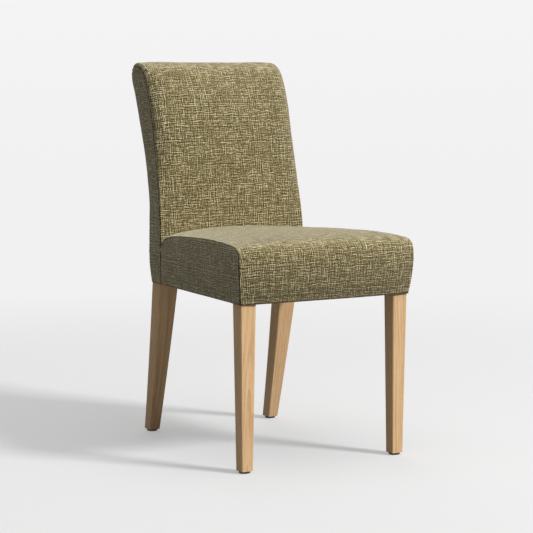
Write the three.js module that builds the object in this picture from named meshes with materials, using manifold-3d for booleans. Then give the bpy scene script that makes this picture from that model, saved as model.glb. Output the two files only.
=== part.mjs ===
// A parsons chair: oak legs, a tenoned seat frame, webbing, foam and a sewn cloth cover.
// Millimetres, +Z up. The chair faces -Y, and its left side here is the one at -X.
// While it is built, y = 0 is the centre of the front feet. At the end the group is moved so that
// the origin lies on the floor, in the middle of the chair's box.
import * as THREE from 'three';
import { mergeVertices } from 'three/addons/utils/BufferGeometryUtils.js';
import Module from 'manifold-3d';

const wasm = await Module();
wasm.setup();

// Driving dimensions: the whole chair
const CHAIR_HEIGHT = 900;
const HEM_HEIGHT = 374;
const SEAT_EDGE_RISE = 130;
const SEAT_FRONT_REACH = 22;
const SEAT_BACK_LINE = 407;
const SEAT_HALF_FRONT = 219.4;
const SEAT_HALF_REAR = 197.5;
const BACK_HALF = 198;
const BACK_REACH = 182;

// Driving dimensions: legs and glides
const GLIDE_DIAMETER = 26;
const GLIDE_HEIGHT = 5;
const GLIDE_EDGE = 1.5;
const NAIL_DIAMETER = 4;
const NAIL_LENGTH = 16;
const FRONT_LEG_PADDING = 2.3;
const FRONT_LEG_WIDTH = 37.8;
const FRONT_FOOT_WIDTH = 28;
const REAR_FOOT_X = 166.7;
const REAR_FOOT_Y = 523;
const REAR_FOOT_WIDTH = 27;
const REAR_FOOT_DEPTH = 31;
const REAR_LEG_WIDTH = 49;
const REAR_LEG_DEPTH = 42;
const POST_TOP_WIDTH = 40;
const POST_TOP_DEPTH = 34;
const POST_TOP_DROP = 36;
const LEG_EASE = 1.6;
const SABRE_SHARE = 0.12;

// Driving dimensions: seat frame
const RAIL_THICKNESS = 24;
const RAIL_HEIGHT = 73;
const RAIL_LIFT = 3;
const RAIL_SETBACK = 1;
const TENON_THICKNESS = 10;
const TENON_LENGTH = 13;
const TENON_SHOULDER = 12;
const BLOCK_LEG = 74;
const BLOCK_HEIGHT = 42;
const SCREW_DIAMETER = 4.5;
const SCREW_HEAD_DIAMETER = 9;
const SCREW_HEAD_HEIGHT = 3;
const SCREW_LENGTH = 42;
const SCREW_SPACING = 16;
const SCREW_PLACE_SHARE = 0.6;

// Driving dimensions: back frame
const BACK_RAIL_THICKNESS = 20;
const BACK_RAIL_HEIGHT = 42;
// Places of its rails and straps, as shares of the way from the seat's edge up to the top of the posts
const BACK_RAIL_SHARES = { low: 0.08, middle: 0.455, top: 0.93 };
const BACK_STRAP_SHARES = [0.22, 0.5, 0.78];

// Driving dimensions: straps, padding and cloth
const STRAP_WIDTH = 50;
const STRAP_THICKNESS = 1.6;
const STRAP_WAVE = 1.1;
const STRAP_END = 5;
const STRAP_RAMP = 20;
const STRAP_PLAY = 2;
const LONG_STRAP_COUNT = 4;
const LONG_STRAP_PITCH = 70;
const CROSS_STRAP_COUNT = 4;
const CROSS_STRAP_PITCH = 95;
const CLOTH = 1;
const GAP = 0.3;
const DUST_CLOTH = 0.8;
const POST_PADDING = 4;
const HEM_PADDING = 1.7;
const SEAT_PAD_LIFT = 6;
const BACK_PAD_LIFT = 24;
const PAD_MARGIN = 4;
const FOAM_LIP = 10;
const FOAM_PRESS = 1.5;

// Driving dimensions: fullness of the seat and the back
const SEAT_SWELL = 8;
const SEAT_CROWN = 5.5;
const SEAT_BOW = 4;
const SEAT_ROLL = 3;
const BACK_ROLL = 25;
const BACK_CROWN = 7;
const OVERRUN = 20;

// Side edge of the seat, from the front hem over the top to the back:
// share of the seat's depth, share of its edge height over the hem.
const SEAT_EDGE_SHARES = [
  [0, 0], [-0.0135, 0.35], [-0.0186, 0.68], [-0.0105, 0.84], [0.018, 0.935], [0.09, 0.975],
  [0.28, 1], [0.52, 0.985], [0.78, 0.935], [0.89, 0.88], [0.96, 0.8], [1, 0.66],
];
const SEAT_CORNER_SHARE = 3.5 / 11;
const SEAT_FULLEST_SHARE = 0.7;
const SEAT_REAR_SWELL_SHARE = 0.12;
const SEAT_REAR_MIDDLE_SHARE = 1.008;

// Outline of the back, from the front hem over the top to the rear hem: share of its reach, share of its
// height over the hem, share of its half width, share of its edge roll, share of its crown.
const BACK_SHARES = [
  [0, 0, 0.9975, 0, 0], [0.001, 0.12, 1, 0, 0], [0.002, 0.24, 0.995, 0.1, 0],
  [0.03, 0.335, 0.984, 0.2, 0.4], [0.065, 0.43, 0.969, 0.42, 0.8], [0.143, 0.62, 0.955, 0.8, 1],
  [0.262, 0.81, 0.9475, 1, 0.9], [0.46, 0.958, 0.9445, 1, 0.4], [0.62, 0.994, 0.9425, 0.75, -0.1],
  [0.78, 1, 0.941, 0.5, -0.28], [0.92, 0.988, 0.9395, 0.3, -0.1], [0.985, 0.955, 0.937, 0.12, 0],
  [0.995, 0.92, 0.936, 0.12, 0.1], [0.9, 0.845, 0.936, 0.12, 0.3], [0.795, 0.753, 0.9375, 0.12, 0.4],
  [0.586, 0.563, 0.9445, 0.12, 0.4], [0.44, 0.373, 0.96, 0.12, 0.4], [0.405, 0.2, 0.979, 0.12, 0.3],
  [0.383, 0.0875, 0.983, 0.04, 0.1], [0.328, 0, 0.976, 0.02, 0],
];
const BACK_SPANS = BACK_SHARES.length - 1;
const BACK_TOP_FRONT_SHARE = 8 / BACK_SPANS;
const BACK_TOP_REAR_SHARE = 11 / BACK_SPANS;

// How sharply the cloth rolls over an edge, and how its crown dies out towards it
const ROLL_POWER = 14;
const CROWN_POWER = 2.6;
const REAR_EDGE_POWER = 2.7;

// Fineness of the forms
const ACROSS = 12;
const PAD_ROWS = 4;
const SEAT_BEND_ROWS = 3;
const SEAT_TOP_ROWS = 12;
const BACK_HEM_ROWS = 2;
const BACK_FACE_ROWS = 14;
const BACK_TOP_ROWS = 5;
const SIDE_PAD_ROWS = 9;
const STRAP_ROWS = 4;
const ROUND_SIDES = 20;
const SCREW_SIDES = 10;
const LEG_STEPS = 5;
const POST_STEPS = 24;
const SEARCH_STEPS = 400;

const SEAT_DEPTH = SEAT_BACK_LINE + SEAT_FRONT_REACH;
const BACK_RISE = CHAIR_HEIGHT - HEM_HEIGHT;
const BACK_FACE_LINE = SEAT_BACK_LINE + 2 * GAP;
const POST_TOP_HEIGHT = CHAIR_HEIGHT - POST_TOP_DROP;
const RAIL_BOTTOM = HEM_HEIGHT + RAIL_LIFT;
const RAIL_TOP = RAIL_BOTTOM + RAIL_HEIGHT;
const RAIL_MIDDLE = (RAIL_TOP + RAIL_BOTTOM) / 2;
const STRAP_BASE = RAIL_TOP + GAP + STRAP_THICKNESS / 2;
const FOAM_BASE = STRAP_BASE + 2 * STRAP_WAVE + STRAP_THICKNESS / 2 + GAP;
const LINING = CLOTH + GAP;
const BACK_SEAM_SHARE = GAP / BACK_RISE;

const material = (color, roughness, metalness = 0) => (
  new THREE.MeshStandardMaterial({ color, roughness, metalness }));
const OAK = material(0xc9a27a, 0.55);
const FRAME_WOOD = material(0xd8bf95, 0.8);
const COVER_CLOTH = material(0x8b7e58, 0.95);
const FOAM = material(0xe9e2c8, 1);
const WADDING = material(0xf1f0ec, 1);
const WEBBING = material(0x6f6a60, 0.9);
const STEEL = material(0xa9abad, 0.35, 1);
const NYLON = material(0x1b1b1c, 0.5);
const BLACK_CLOTH = material(0x202022, 1);

const SIDES = { left: -1, right: 1 };
const vec = (x, y, z) => new THREE.Vector3(x, y, z);
const mix = (a, b, share) => a + (b - a) * share;
const clampShare = (value) => Math.min(Math.max(value, 0), 1);
const shares = (count) => Array.from({ length: count + 1 }, (_, i) => i / count);
const sharesBetween = (from, to, count) => shares(count).map((share) => mix(from, to, share));
const spread = (share) => Math.sin((share * 2 - 1) * Math.PI / 2);
const ACROSS_SHARES = shares(ACROSS).map(spread);

// Solids

// A closed triangle mesh as a solid, turned right way out.
function solidOf(geometry) {
  const bare = geometry.index ? geometry.toNonIndexed() : geometry.clone();
  bare.deleteAttribute('normal');
  bare.deleteAttribute('uv');
  const merged = mergeVertices(bare, GAP / 1000);
  const triVerts = new Uint32Array(merged.index.array);
  const build = () => new wasm.Manifold(new wasm.Mesh({
    numProp: 3,
    vertProperties: merged.attributes.position.array,
    triVerts,
  }));
  const solid = build();
  if (solid.volume() > 0) return solid;
  for (let i = 0; i < triVerts.length; i += 3) {
    [triVerts[i + 1], triVerts[i + 2]] = [triVerts[i + 2], triVerts[i + 1]];
  }
  return build();
}

function geometryOf(solid) {
  const made = solid.getMesh();
  const points = new Float32Array(made.numVert * 3);
  for (let i = 0; i < made.numVert; i += 1) {
    for (let k = 0; k < 3; k += 1) points[3 * i + k] = made.vertProperties[made.numProp * i + k];
  }
  const geometry = new THREE.BufferGeometry();
  geometry.setAttribute('position', new THREE.BufferAttribute(points, 3));
  geometry.setIndex(new THREE.BufferAttribute(new Uint32Array(made.triVerts), 1));
  const flat = geometry.toNonIndexed();
  flat.computeVertexNormals();
  return flat;
}

function geometryOfTriangles(triangles) {
  const positions = triangles.flat().flatMap((p) => [p.x, p.y, p.z]);
  const geometry = new THREE.BufferGeometry();
  geometry.setAttribute('position', new THREE.Float32BufferAttribute(positions, 3));
  return geometry;
}

// Triangles of a grid of points.
function gridTriangles(rows) {
  const triangles = [];
  for (let i = 0; i + 1 < rows.length; i += 1) {
    for (let j = 0; j + 1 < rows[i].length; j += 1) {
      triangles.push([rows[i][j], rows[i + 1][j], rows[i + 1][j + 1]]);
      triangles.push([rows[i][j], rows[i + 1][j + 1], rows[i][j + 1]]);
    }
  }
  return triangles;
}

// A closed sheet between two grids that have the same rows and columns.
function sheetSolid(outer, inner) {
  const column = (grid, j) => grid.map((row) => row[j]);
  const lastRow = outer.length - 1;
  const lastColumn = outer[0].length - 1;
  const patches = [
    outer,
    [inner[0], outer[0]],
    [outer[lastRow], inner[lastRow]],
    [column(outer, 0), column(inner, 0)],
    [column(inner, lastColumn), column(outer, lastColumn)],
  ];
  const underside = gridTriangles(inner).map(([a, b, c]) => [a, c, b]);
  return solidOf(geometryOfTriangles([...patches.flatMap(gridTriangles), ...underside]));
}

// A solid through rings that have the same number of points.
function loftSolid(rings) {
  const fan = (ring) => {
    const middle = ring.reduce((sum, p) => sum.add(p), vec(0, 0, 0)).divideScalar(ring.length);
    return ring.map((p, i) => [middle, p, ring[(i + 1) % ring.length]]);
  };
  const closed = rings.map((ring) => [...ring, ring[0]]);
  const ends = [...fan([...rings[0]].reverse()), ...fan(rings[rings.length - 1])];
  const walls = gridTriangles(closed).map(([a, b, c]) => [a, c, b]);
  return solidOf(geometryOfTriangles([...ends, ...walls]));
}

// A level rectangle with eased corners, anticlockwise seen from above.
function easedRing({ x, y, z, width, depth }, grow = 0) {
  const across = width / 2 + grow;
  const along = depth / 2 + grow;
  const corners = [[1, 1], [-1, 1], [-1, -1], [1, -1]];
  return corners.flatMap(([sx, sy]) => {
    const sideways = vec(x + sx * across, y + sy * (along - LEG_EASE), z);
    const lengthways = vec(x + sx * (across - LEG_EASE), y + sy * along, z);
    return sx * sy > 0 ? [sideways, lengthways] : [lengthways, sideways];
  });
}

// A box of a size, tilted about X, turned about Z and moved to its middle.
function boxSolid(size, middle, { turn = 0, tilt = 0, grow = 0 } = {}) {
  const geometry = new THREE.BoxGeometry(size.x + 2 * grow, size.y + 2 * grow, size.z + 2 * grow);
  geometry.rotateX(tilt);
  geometry.rotateZ(turn);
  geometry.translate(middle.x, middle.y, middle.z);
  return solidOf(geometry);
}

function trimmedBy(solid, cutters) {
  return cutters.reduce((rest, cutter) => rest.subtract(cutter), solid);
}

// Outlines in the side view

// A smooth outline through rows of y, z and what else goes with them. It is read at a share of its spans.
function makeOutline(rows) {
  const curve = new THREE.CatmullRomCurve3(rows.map(([y, z]) => vec(0, y, z)), false, 'centripetal');
  const extras = rows.map(([, , ...rest]) => rest);
  const read = (share) => {
    const place = share * (rows.length - 1);
    const low = Math.min(Math.floor(place), rows.length - 2);
    return extras[low].map((value, k) => mix(value, extras[low + 1][k], place - low));
  };
  return (share, inset = 0) => {
    const at = clampShare(share);
    const direction = curve.getTangent(at);
    const inward = vec(0, direction.z, -direction.y);
    return { point: curve.getPoint(at).addScaledVector(inward, inset), inward, extra: read(at) };
  };
}

// Share at which a rising or falling stretch of an outline passes a height.
function shareAtHeight(outline, z, from, to) {
  const steps = shares(SEARCH_STEPS).map((s) => mix(from, to, s));
  const off = (share) => Math.abs(outline(share).point.z - z);
  return steps.reduce((best, share) => (off(share) < off(best) ? share : best));
}

// Grid of points inside four borders. Bottom and top have equal counts, and so have front and rear.
function borderedGrid({ bottom, top, front, rear }) {
  const columns = top.length - 1;
  const rows = front.length - 1;
  return shares(rows).map((v, i) => shares(columns).map((u, j) => {
    const low = bottom[0].clone().lerp(bottom[columns], u);
    const high = top[0].clone().lerp(top[columns], u);
    const upwards = bottom[j].clone().lerp(top[j], v);
    const rearwards = front[i].clone().lerp(rear[i], u);
    return upwards.add(rearwards).sub(low.lerp(high, v));
  }));
}

// The seat's form

const seatOutline = makeOutline(SEAT_EDGE_SHARES.map(([depth, rise]) => [
  depth * SEAT_DEPTH - SEAT_FRONT_REACH,
  HEM_HEIGHT + rise * SEAT_EDGE_RISE,
]));

function seatFullness(z) {
  const share = clampShare((z - HEM_HEIGHT) / (SEAT_EDGE_RISE * SEAT_FULLEST_SHARE));
  return 1 - (1 - share) ** 2;
}

// Half the seat's width at a place on its side.
function seatHalfWidth(y, z) {
  const share = clampShare((y + SEAT_FRONT_REACH) / SEAT_DEPTH);
  const fade = mix(1, SEAT_REAR_SWELL_SHARE, share);
  return mix(SEAT_HALF_FRONT, SEAT_HALF_REAR, share) + SEAT_SWELL * seatFullness(z) * fade;
}

function roll(across, power) {
  return Math.sqrt(Math.max(1 - Math.abs(across) ** power, 0));
}

// A point of the cloth over the seat's front and top. across runs from -1 to 1.
function seatTopPoint(across, along, inset) {
  const { point, inward } = seatOutline(along, inset);
  const half = seatHalfWidth(point.y, point.z) - inset;
  const full = seatFullness(point.z);
  const crown = mix(SEAT_BOW, SEAT_CROWN, full) * (1 - Math.abs(across) ** CROWN_POWER);
  const lift = crown + SEAT_ROLL * full * roll(across, ROLL_POWER);
  const middle = HEM_HEIGHT + SEAT_REAR_MIDDLE_SHARE * SEAT_EDGE_RISE - inset;
  const rise = Math.max(middle - point.z, 0) * roll(across, REAR_EDGE_POWER);
  const rising = inward.y >= 0;
  const place = vec(across * half, point.y, point.z);
  if (rising) return place.addScaledVector(inward, -lift);
  return place.add(vec(0, 0, Math.max(lift, rise)));
}

// Shares of the seat's outline at which its cover, foam and front pad have their rows
const seatShareAt = (z) => shareAtHeight(seatOutline, z, 0, SEAT_CORNER_SHARE);
const SEAT_PAD_LEVELS = sharesBetween(HEM_HEIGHT + SEAT_PAD_LIFT, FOAM_BASE - GAP, PAD_ROWS);
const SEAT_PAD_SHARES = SEAT_PAD_LEVELS.map(seatShareAt);
const SEAT_BEND_SHARES = sharesBetween(seatShareAt(FOAM_BASE + FOAM_LIP), SEAT_CORNER_SHARE, SEAT_BEND_ROWS);
const SEAT_TOP_SHARES = sharesBetween(SEAT_CORNER_SHARE, 1, SEAT_TOP_ROWS);
const SEAT_FRONT_SHARES = [0, ...SEAT_PAD_SHARES, ...SEAT_BEND_SHARES];

function seatTopGrid(alongs, inset) {
  return alongs.map((along) => ACROSS_SHARES.map((across) => seatTopPoint(across, along, inset)));
}

function seatSideGrid(side, inset) {
  const edge = (share) => seatOutline(share, inset + GAP).point;
  const rearTop = edge(1);
  const hemFront = edge(0);
  const hemRear = vec(0, rearTop.y, hemFront.z);
  const grid = borderedGrid({
    bottom: shares(SEAT_TOP_ROWS).map((u) => hemFront.clone().lerp(hemRear, u)),
    top: SEAT_TOP_SHARES.map(edge),
    front: SEAT_FRONT_SHARES.map(edge),
    rear: shares(SEAT_FRONT_SHARES.length - 1).map((v) => hemRear.clone().lerp(rearTop, v)),
  });
  return grid.map((row) => row.map((p) => vec(side * (seatHalfWidth(p.y, p.z) - inset), p.y, p.z)));
}

// The back's form

const backOutline = makeOutline(BACK_SHARES.map(([reach, rise, half, edge, crown]) => [
  BACK_FACE_LINE + reach * BACK_REACH,
  HEM_HEIGHT + rise * BACK_RISE,
  half * BACK_HALF,
  edge * BACK_ROLL,
  crown * BACK_CROWN,
]));

// A point of the cloth over the back's front, top or rear.
function backPoint(across, along, inset) {
  const { point, inward, extra: [half, edge, crown] } = backOutline(along, inset);
  const sink = edge * (1 - roll(across, ROLL_POWER)) - crown * (1 - across ** 2);
  return vec(across * (half - inset), point.y, point.z).addScaledVector(inward, sink);
}

// Shares of the back's outline at which its covers, foam and rear pad have their rows
const BACK_LOW_SHARE = shareAtHeight(backOutline, FOAM_BASE, 0, BACK_TOP_FRONT_SHARE);
const BACK_HEM_SHARES = sharesBetween(0, BACK_LOW_SHARE, BACK_HEM_ROWS);
const BACK_FACE_SHARES = sharesBetween(BACK_LOW_SHARE, BACK_TOP_FRONT_SHARE, BACK_FACE_ROWS);
const BACK_FRONT_END_SHARE = BACK_TOP_REAR_SHARE - BACK_SEAM_SHARE;
const BACK_REAR_START_SHARE = BACK_TOP_REAR_SHARE + BACK_SEAM_SHARE;
const BACK_TOP_SHARES = sharesBetween(BACK_TOP_FRONT_SHARE, BACK_FRONT_END_SHARE, BACK_TOP_ROWS);
const BACK_REAR_SHARES = sharesBetween(BACK_REAR_START_SHARE, 1, BACK_HEM_ROWS + BACK_FACE_ROWS);

function backGrid(alongs, inset) {
  return alongs.map((along) => ACROSS_SHARES.map((across) => backPoint(across, along, inset)));
}

// One face of the back at a height: its y and its half width.
function backFaceAt(z, from, to) {
  const { point, extra: [half] } = backOutline(shareAtHeight(backOutline, z, from, to));
  return { y: point.y, half };
}

const backRearAt = (z) => backFaceAt(z, BACK_TOP_REAR_SHARE, 1);
const backFrontAt = (z) => backFaceAt(z, 0, BACK_TOP_FRONT_SHARE);

// Half the back's width at a place on its side.
function backHalfWidth(y, z) {
  const front = backFrontAt(z);
  const rear = backRearAt(z);
  return mix(front.half, rear.half, clampShare((y - front.y) / (rear.y - front.y)));
}

function backSideGrid(side, inset) {
  const seam = (share) => {
    const { point, inward, extra: [half, edge] } = backOutline(share, inset + GAP);
    return point.addScaledVector(inward, edge).setX(half - inset);
  };
  const grid = borderedGrid({
    bottom: shares(BACK_TOP_ROWS).map((u) => seam(0).lerp(seam(1), u)),
    top: BACK_TOP_SHARES.map(seam),
    front: [...BACK_HEM_SHARES.slice(0, -1), ...BACK_FACE_SHARES].map(seam),
    rear: [...BACK_REAR_SHARES].reverse().map(seam),
  });
  return grid.map((row) => row.map((p) => vec(side * p.x, p.y, p.z)));
}

// Legs

const FRONT_LEG_OUTER = seatHalfWidth(0, HEM_HEIGHT) - FRONT_LEG_PADDING;
const FRONT_LEG_X = FRONT_LEG_OUTER - FRONT_LEG_WIDTH / 2;

function rearLegSection(z) {
  if (z >= HEM_HEIGHT) {
    const up = clampShare((z - HEM_HEIGHT) / (POST_TOP_HEIGHT - HEM_HEIGHT));
    const width = mix(REAR_LEG_WIDTH, POST_TOP_WIDTH, up);
    const depth = mix(REAR_LEG_DEPTH, POST_TOP_DEPTH, up);
    const padding = postPadding(z);
    const rear = backRearAt(z);
    return { x: rear.half - padding - width / 2, y: rear.y - padding - depth / 2, z, width, depth };
  }
  const hem = rearLegSection(HEM_HEIGHT);
  const up = (z - GLIDE_HEIGHT) / (HEM_HEIGHT - GLIDE_HEIGHT);
  const sweep = up + SABRE_SHARE * up * (1 - up);
  return {
    x: mix(REAR_FOOT_X, hem.x, up),
    y: mix(REAR_FOOT_Y, hem.y, sweep),
    z,
    width: mix(REAR_FOOT_WIDTH, hem.width, up),
    depth: mix(REAR_FOOT_DEPTH, hem.depth, up),
  };
}

function postPadding(z) {
  return mix(HEM_PADDING, POST_PADDING, clampShare((z - HEM_HEIGHT) / (RAIL_TOP - HEM_HEIGHT)));
}

function frontLegSection(z) {
  const up = clampShare((z - GLIDE_HEIGHT) / (HEM_HEIGHT - GLIDE_HEIGHT));
  const width = mix(FRONT_FOOT_WIDTH, FRONT_LEG_WIDTH, up);
  return { x: FRONT_LEG_X, y: 0, z, width, depth: width };
}

function legBlank(sectionAt, heights, side, grow) {
  const rings = heights.map((z, i) => {
    const section = sectionAt(z);
    const ends = { 0: -grow, [heights.length - 1]: grow };
    return easedRing({ ...section, x: side * section.x, z: z + (ends[i] ?? 0) }, grow);
  });
  return loftSolid(rings);
}

function frontLegBlank(side, grow = 0) {
  return legBlank(frontLegSection, [GLIDE_HEIGHT, HEM_HEIGHT, RAIL_TOP], side, grow);
}

function rearLegBlank(side, grow = 0) {
  const leg = shares(LEG_STEPS).map((s) => mix(GLIDE_HEIGHT, HEM_HEIGHT, s));
  const post = shares(POST_STEPS).slice(1).map((s) => mix(HEM_HEIGHT, POST_TOP_HEIGHT, s));
  return legBlank(rearLegSection, [...leg, ...post], side, grow);
}

// Glides

// A round body about Y, from pairs of radius and height that begin and end on the axis.
function latheGeometry(profile, sides) {
  return new THREE.LatheGeometry(profile.map(([radius, height]) => new THREE.Vector2(radius, height)), sides);
}

// The same body about the vertical through x and y.
function turnedSolid(profile, x, y) {
  const geometry = latheGeometry(profile, ROUND_SIDES);
  geometry.rotateX(Math.PI / 2);
  geometry.translate(x, y, 0);
  return solidOf(geometry);
}

function glideSolid(x, y) {
  const radius = GLIDE_DIAMETER / 2;
  const nail = NAIL_DIAMETER / 2;
  return turnedSolid([
    [0, 0], [radius - GLIDE_EDGE, 0], [radius, GLIDE_EDGE], [radius, GLIDE_HEIGHT], [nail, GLIDE_HEIGHT],
    [nail, GLIDE_HEIGHT + NAIL_LENGTH - NAIL_DIAMETER], [0, GLIDE_HEIGHT + NAIL_LENGTH],
  ], x, y);
}

function nailHole(x, y) {
  const radius = NAIL_DIAMETER / 2 + GAP;
  const top = GLIDE_HEIGHT + NAIL_LENGTH + GAP;
  return turnedSolid([[0, -OVERRUN], [radius, -OVERRUN], [radius, top], [0, top]], x, y);
}

// Frame: rails with a tenon at each end

// from and to are the middles of the two legs at the rail. The shoulders lie fromDepth and toDepth from them.
function makeRail({ from, to, fromDepth, toDepth, thickness, height, tilt = 0, legs }) {
  const along = to.clone().sub(from);
  const length = along.length();
  const direction = along.normalize();
  const turn = Math.atan2(direction.y, direction.x);
  const middle = from.clone().lerp(to, 1 / 2);
  const body = (grow) => boxSolid(vec(length, thickness, height), middle, { turn, tilt, grow });
  const tenonSize = vec(2 * TENON_LENGTH, TENON_THICKNESS, height - 2 * TENON_SHOULDER);
  const ends = [
    from.clone().addScaledVector(direction, fromDepth),
    to.clone().addScaledVector(direction, -toDepth),
  ];
  const tenons = (grow) => ends.map((end) => boxSolid(tenonSize, end, { turn, tilt, grow }));
  const solid = tenons(0).reduce((joined, tenon) => joined.add(tenon), trimmedBy(body(0), legs));
  return { solid, room: body(GAP), mortises: tenons(GAP) };
}

const rearAtRail = rearLegSection(RAIL_MIDDLE);
const rearOuterAtRail = rearAtRail.x + rearAtRail.width / 2;
const frontRailY = RAIL_SETBACK + RAIL_THICKNESS / 2 - FRONT_LEG_WIDTH / 2;

function levelRail(y, x, depth, legs) {
  return makeRail({
    from: vec(-x, y, RAIL_MIDDLE),
    to: vec(x, y, RAIL_MIDDLE),
    fromDepth: depth,
    toDepth: depth,
    thickness: RAIL_THICKNESS,
    height: RAIL_HEIGHT,
    legs,
  });
}

function sideRail(side, legs) {
  const sunk = RAIL_SETBACK + RAIL_THICKNESS / 2;
  return makeRail({
    from: vec(side * (FRONT_LEG_OUTER - sunk), 0, RAIL_MIDDLE),
    to: vec(side * (rearOuterAtRail - sunk), rearAtRail.y, RAIL_MIDDLE),
    fromDepth: FRONT_LEG_WIDTH / 2,
    toDepth: rearAtRail.depth / 2,
    thickness: RAIL_THICKNESS,
    height: RAIL_HEIGHT,
    legs,
  });
}

// Height on the posts at a share of the way from the seat's edge up to their top.
function postHeightAt(share) {
  return mix(HEM_HEIGHT + SEAT_EDGE_RISE, POST_TOP_HEIGHT, share);
}

// Lean of the posts at a height, as an angle from the vertical towards the rear.
function postLean(z) {
  const half = BACK_RAIL_HEIGHT / 2;
  const rise = rearLegSection(z + half).y - rearLegSection(z - half).y;
  return Math.atan2(rise, BACK_RAIL_HEIGHT);
}

function backRail(z, legs) {
  const section = rearLegSection(z);
  return makeRail({
    from: vec(-section.x, section.y, z),
    to: vec(section.x, section.y, z),
    fromDepth: section.width / 2,
    toDepth: section.width / 2,
    thickness: BACK_RAIL_THICKNESS,
    height: BACK_RAIL_HEIGHT,
    tilt: -postLean(z),
    legs,
  });
}

// Corner blocks and their screws

// Inner face of a side rail at a place along it.
function sideRailInner(y) {
  const outer = mix(FRONT_LEG_OUTER, rearOuterAtRail, y / rearAtRail.y);
  return outer - RAIL_SETBACK - RAIL_THICKNESS;
}

function makeCorner(side, endRailY, towards) {
  const y = endRailY + towards * RAIL_THICKNESS / 2;
  return { side, towards, x: side * sideRailInner(y), y };
}

function blockSolid(corner, neighbours) {
  const { side, towards, x, y } = corner;
  const sunk = RAIL_THICKNESS / 2;
  const reach = BLOCK_LEG + sunk;
  const ring = (z) => [
    vec(x + side * sunk, y - towards * sunk, z),
    vec(x - side * reach, y - towards * sunk, z),
    vec(x + side * sunk, y + towards * reach, z),
  ];
  const prism = loftSolid([ring(RAIL_MIDDLE - BLOCK_HEIGHT / 2), ring(RAIL_MIDDLE + BLOCK_HEIGHT / 2)]);
  return trimmedBy(prism, neighbours);
}

// A wood screw along an axis that points from its tip to its head. Its hole runs on past the head.
function screwSolid({ head, axis }, grow = 0) {
  const shank = SCREW_DIAMETER / 2 + grow;
  const radius = SCREW_HEAD_DIAMETER / 2 + grow;
  const tip = -SCREW_LENGTH - grow;
  const neck = -SCREW_HEAD_HEIGHT - grow;
  const profile = [[0, tip], [shank, tip + SCREW_DIAMETER], [shank, neck], [radius, -grow]];
  if (grow > 0) profile.push([radius, OVERRUN]);
  profile.push([0, grow > 0 ? OVERRUN : 0]);
  const geometry = latheGeometry(profile, SCREW_SIDES);
  geometry.applyQuaternion(new THREE.Quaternion().setFromUnitVectors(vec(0, 1, 0), axis));
  geometry.translate(head.x, head.y, head.z);
  return solidOf(geometry);
}

// One screw goes into the end rail and one, lower, into the side rail.
function cornerScrews({ side, towards, x, y }) {
  const place = BLOCK_LEG * SCREW_PLACE_SHARE;
  const seat = BLOCK_LEG - place - SCREW_HEAD_DIAMETER / 2 - SCREW_HEAD_HEIGHT / 2;
  return [
    {
      head: vec(x - side * place, y + towards * seat, RAIL_MIDDLE + SCREW_SPACING / 2),
      axis: vec(0, towards, 0),
    },
    {
      head: vec(x - side * seat, y + towards * place, RAIL_MIDDLE - SCREW_SPACING / 2),
      axis: vec(-side, 0, 0),
    },
  ];
}

// Webbing

const alternate = (i) => (i % 2 === 0 ? 1 : -1);

function strapPlaces(count, pitch, middle) {
  return Array.from({ length: count }, (_, i) => middle + (i - (count - 1) / 2) * pitch);
}

// Places along a woven strap with their rise over the rails. first is 1 where its first crossing goes over.
function weave({ from, to, crossings, first }) {
  const reach = STRAP_WIDTH / 2 + STRAP_PLAY;
  const waves = crossings.flatMap((crossing, i) => {
    const rise = STRAP_WAVE * (1 + first * alternate(i));
    return [[crossing - reach, rise], [crossing + reach, rise]];
  });
  const start = waves[0][0] - STRAP_RAMP;
  const end = waves[waves.length - 1][0] + STRAP_RAMP;
  return [[from, 0], [start, 0], ...waves, [end, 0], [to, 0]];
}

// pointAt gives the point of the strap's middle line at a place and height, and sideways is across the strap.
function wovenStrap({ pointAt, sideways, ...run }) {
  const across = sideways.clone().multiplyScalar(STRAP_WIDTH / 2);
  const up = vec(0, 0, STRAP_THICKNESS / 2);
  const rings = weave(run).map(([place, rise]) => {
    const middle = pointAt(place, STRAP_BASE + rise);
    return [
      middle.clone().add(across).add(up), middle.clone().sub(across).add(up),
      middle.clone().sub(across).sub(up), middle.clone().add(across).sub(up),
    ];
  });
  return loftSolid(rings);
}

const seatMiddleY = (frontRailY + rearAtRail.y) / 2;
const longStrapX = strapPlaces(LONG_STRAP_COUNT, LONG_STRAP_PITCH, 0);
const crossStrapY = strapPlaces(CROSS_STRAP_COUNT, CROSS_STRAP_PITCH, seatMiddleY);

function longStrap(i) {
  const reach = RAIL_THICKNESS / 2 - STRAP_END;
  return wovenStrap({
    from: frontRailY - reach,
    to: rearAtRail.y + reach,
    crossings: crossStrapY,
    first: alternate(i),
    pointAt: (place, z) => vec(longStrapX[i], place, z),
    sideways: vec(1, 0, 0),
  });
}

function crossStrap(j) {
  const reach = sideRailInner(crossStrapY[j] + STRAP_WIDTH / 2) + RAIL_THICKNESS - STRAP_END;
  return wovenStrap({
    from: -reach,
    to: reach,
    crossings: longStrapX,
    first: -alternate(j),
    pointAt: (place, z) => vec(place, crossStrapY[j], z),
    sideways: vec(0, 1, 0),
  });
}

function postFront(z) {
  const section = rearLegSection(z);
  return section.y - section.depth / 2;
}

// A strap that follows the bend of the posts. Its room is the same strap, grown.
function backStrap(level, grow = 0) {
  const reach = STRAP_WIDTH / 2 + grow;
  const section = rearLegSection(level);
  const half = section.x + section.width / 2 - STRAP_END + grow;
  const grid = (off) => sharesBetween(level - reach, level + reach, STRAP_ROWS).map((z) => (
    [-half, half].map((x) => vec(x, postFront(z) - off, z))));
  return sheetSolid(grid(2 * GAP + STRAP_THICKNESS + grow), grid(2 * GAP - grow));
}

// Foam and padding

// The grid without its outermost columns.
function innerColumns(grid) {
  return grid.map((row) => row.slice(1, -1));
}

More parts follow.
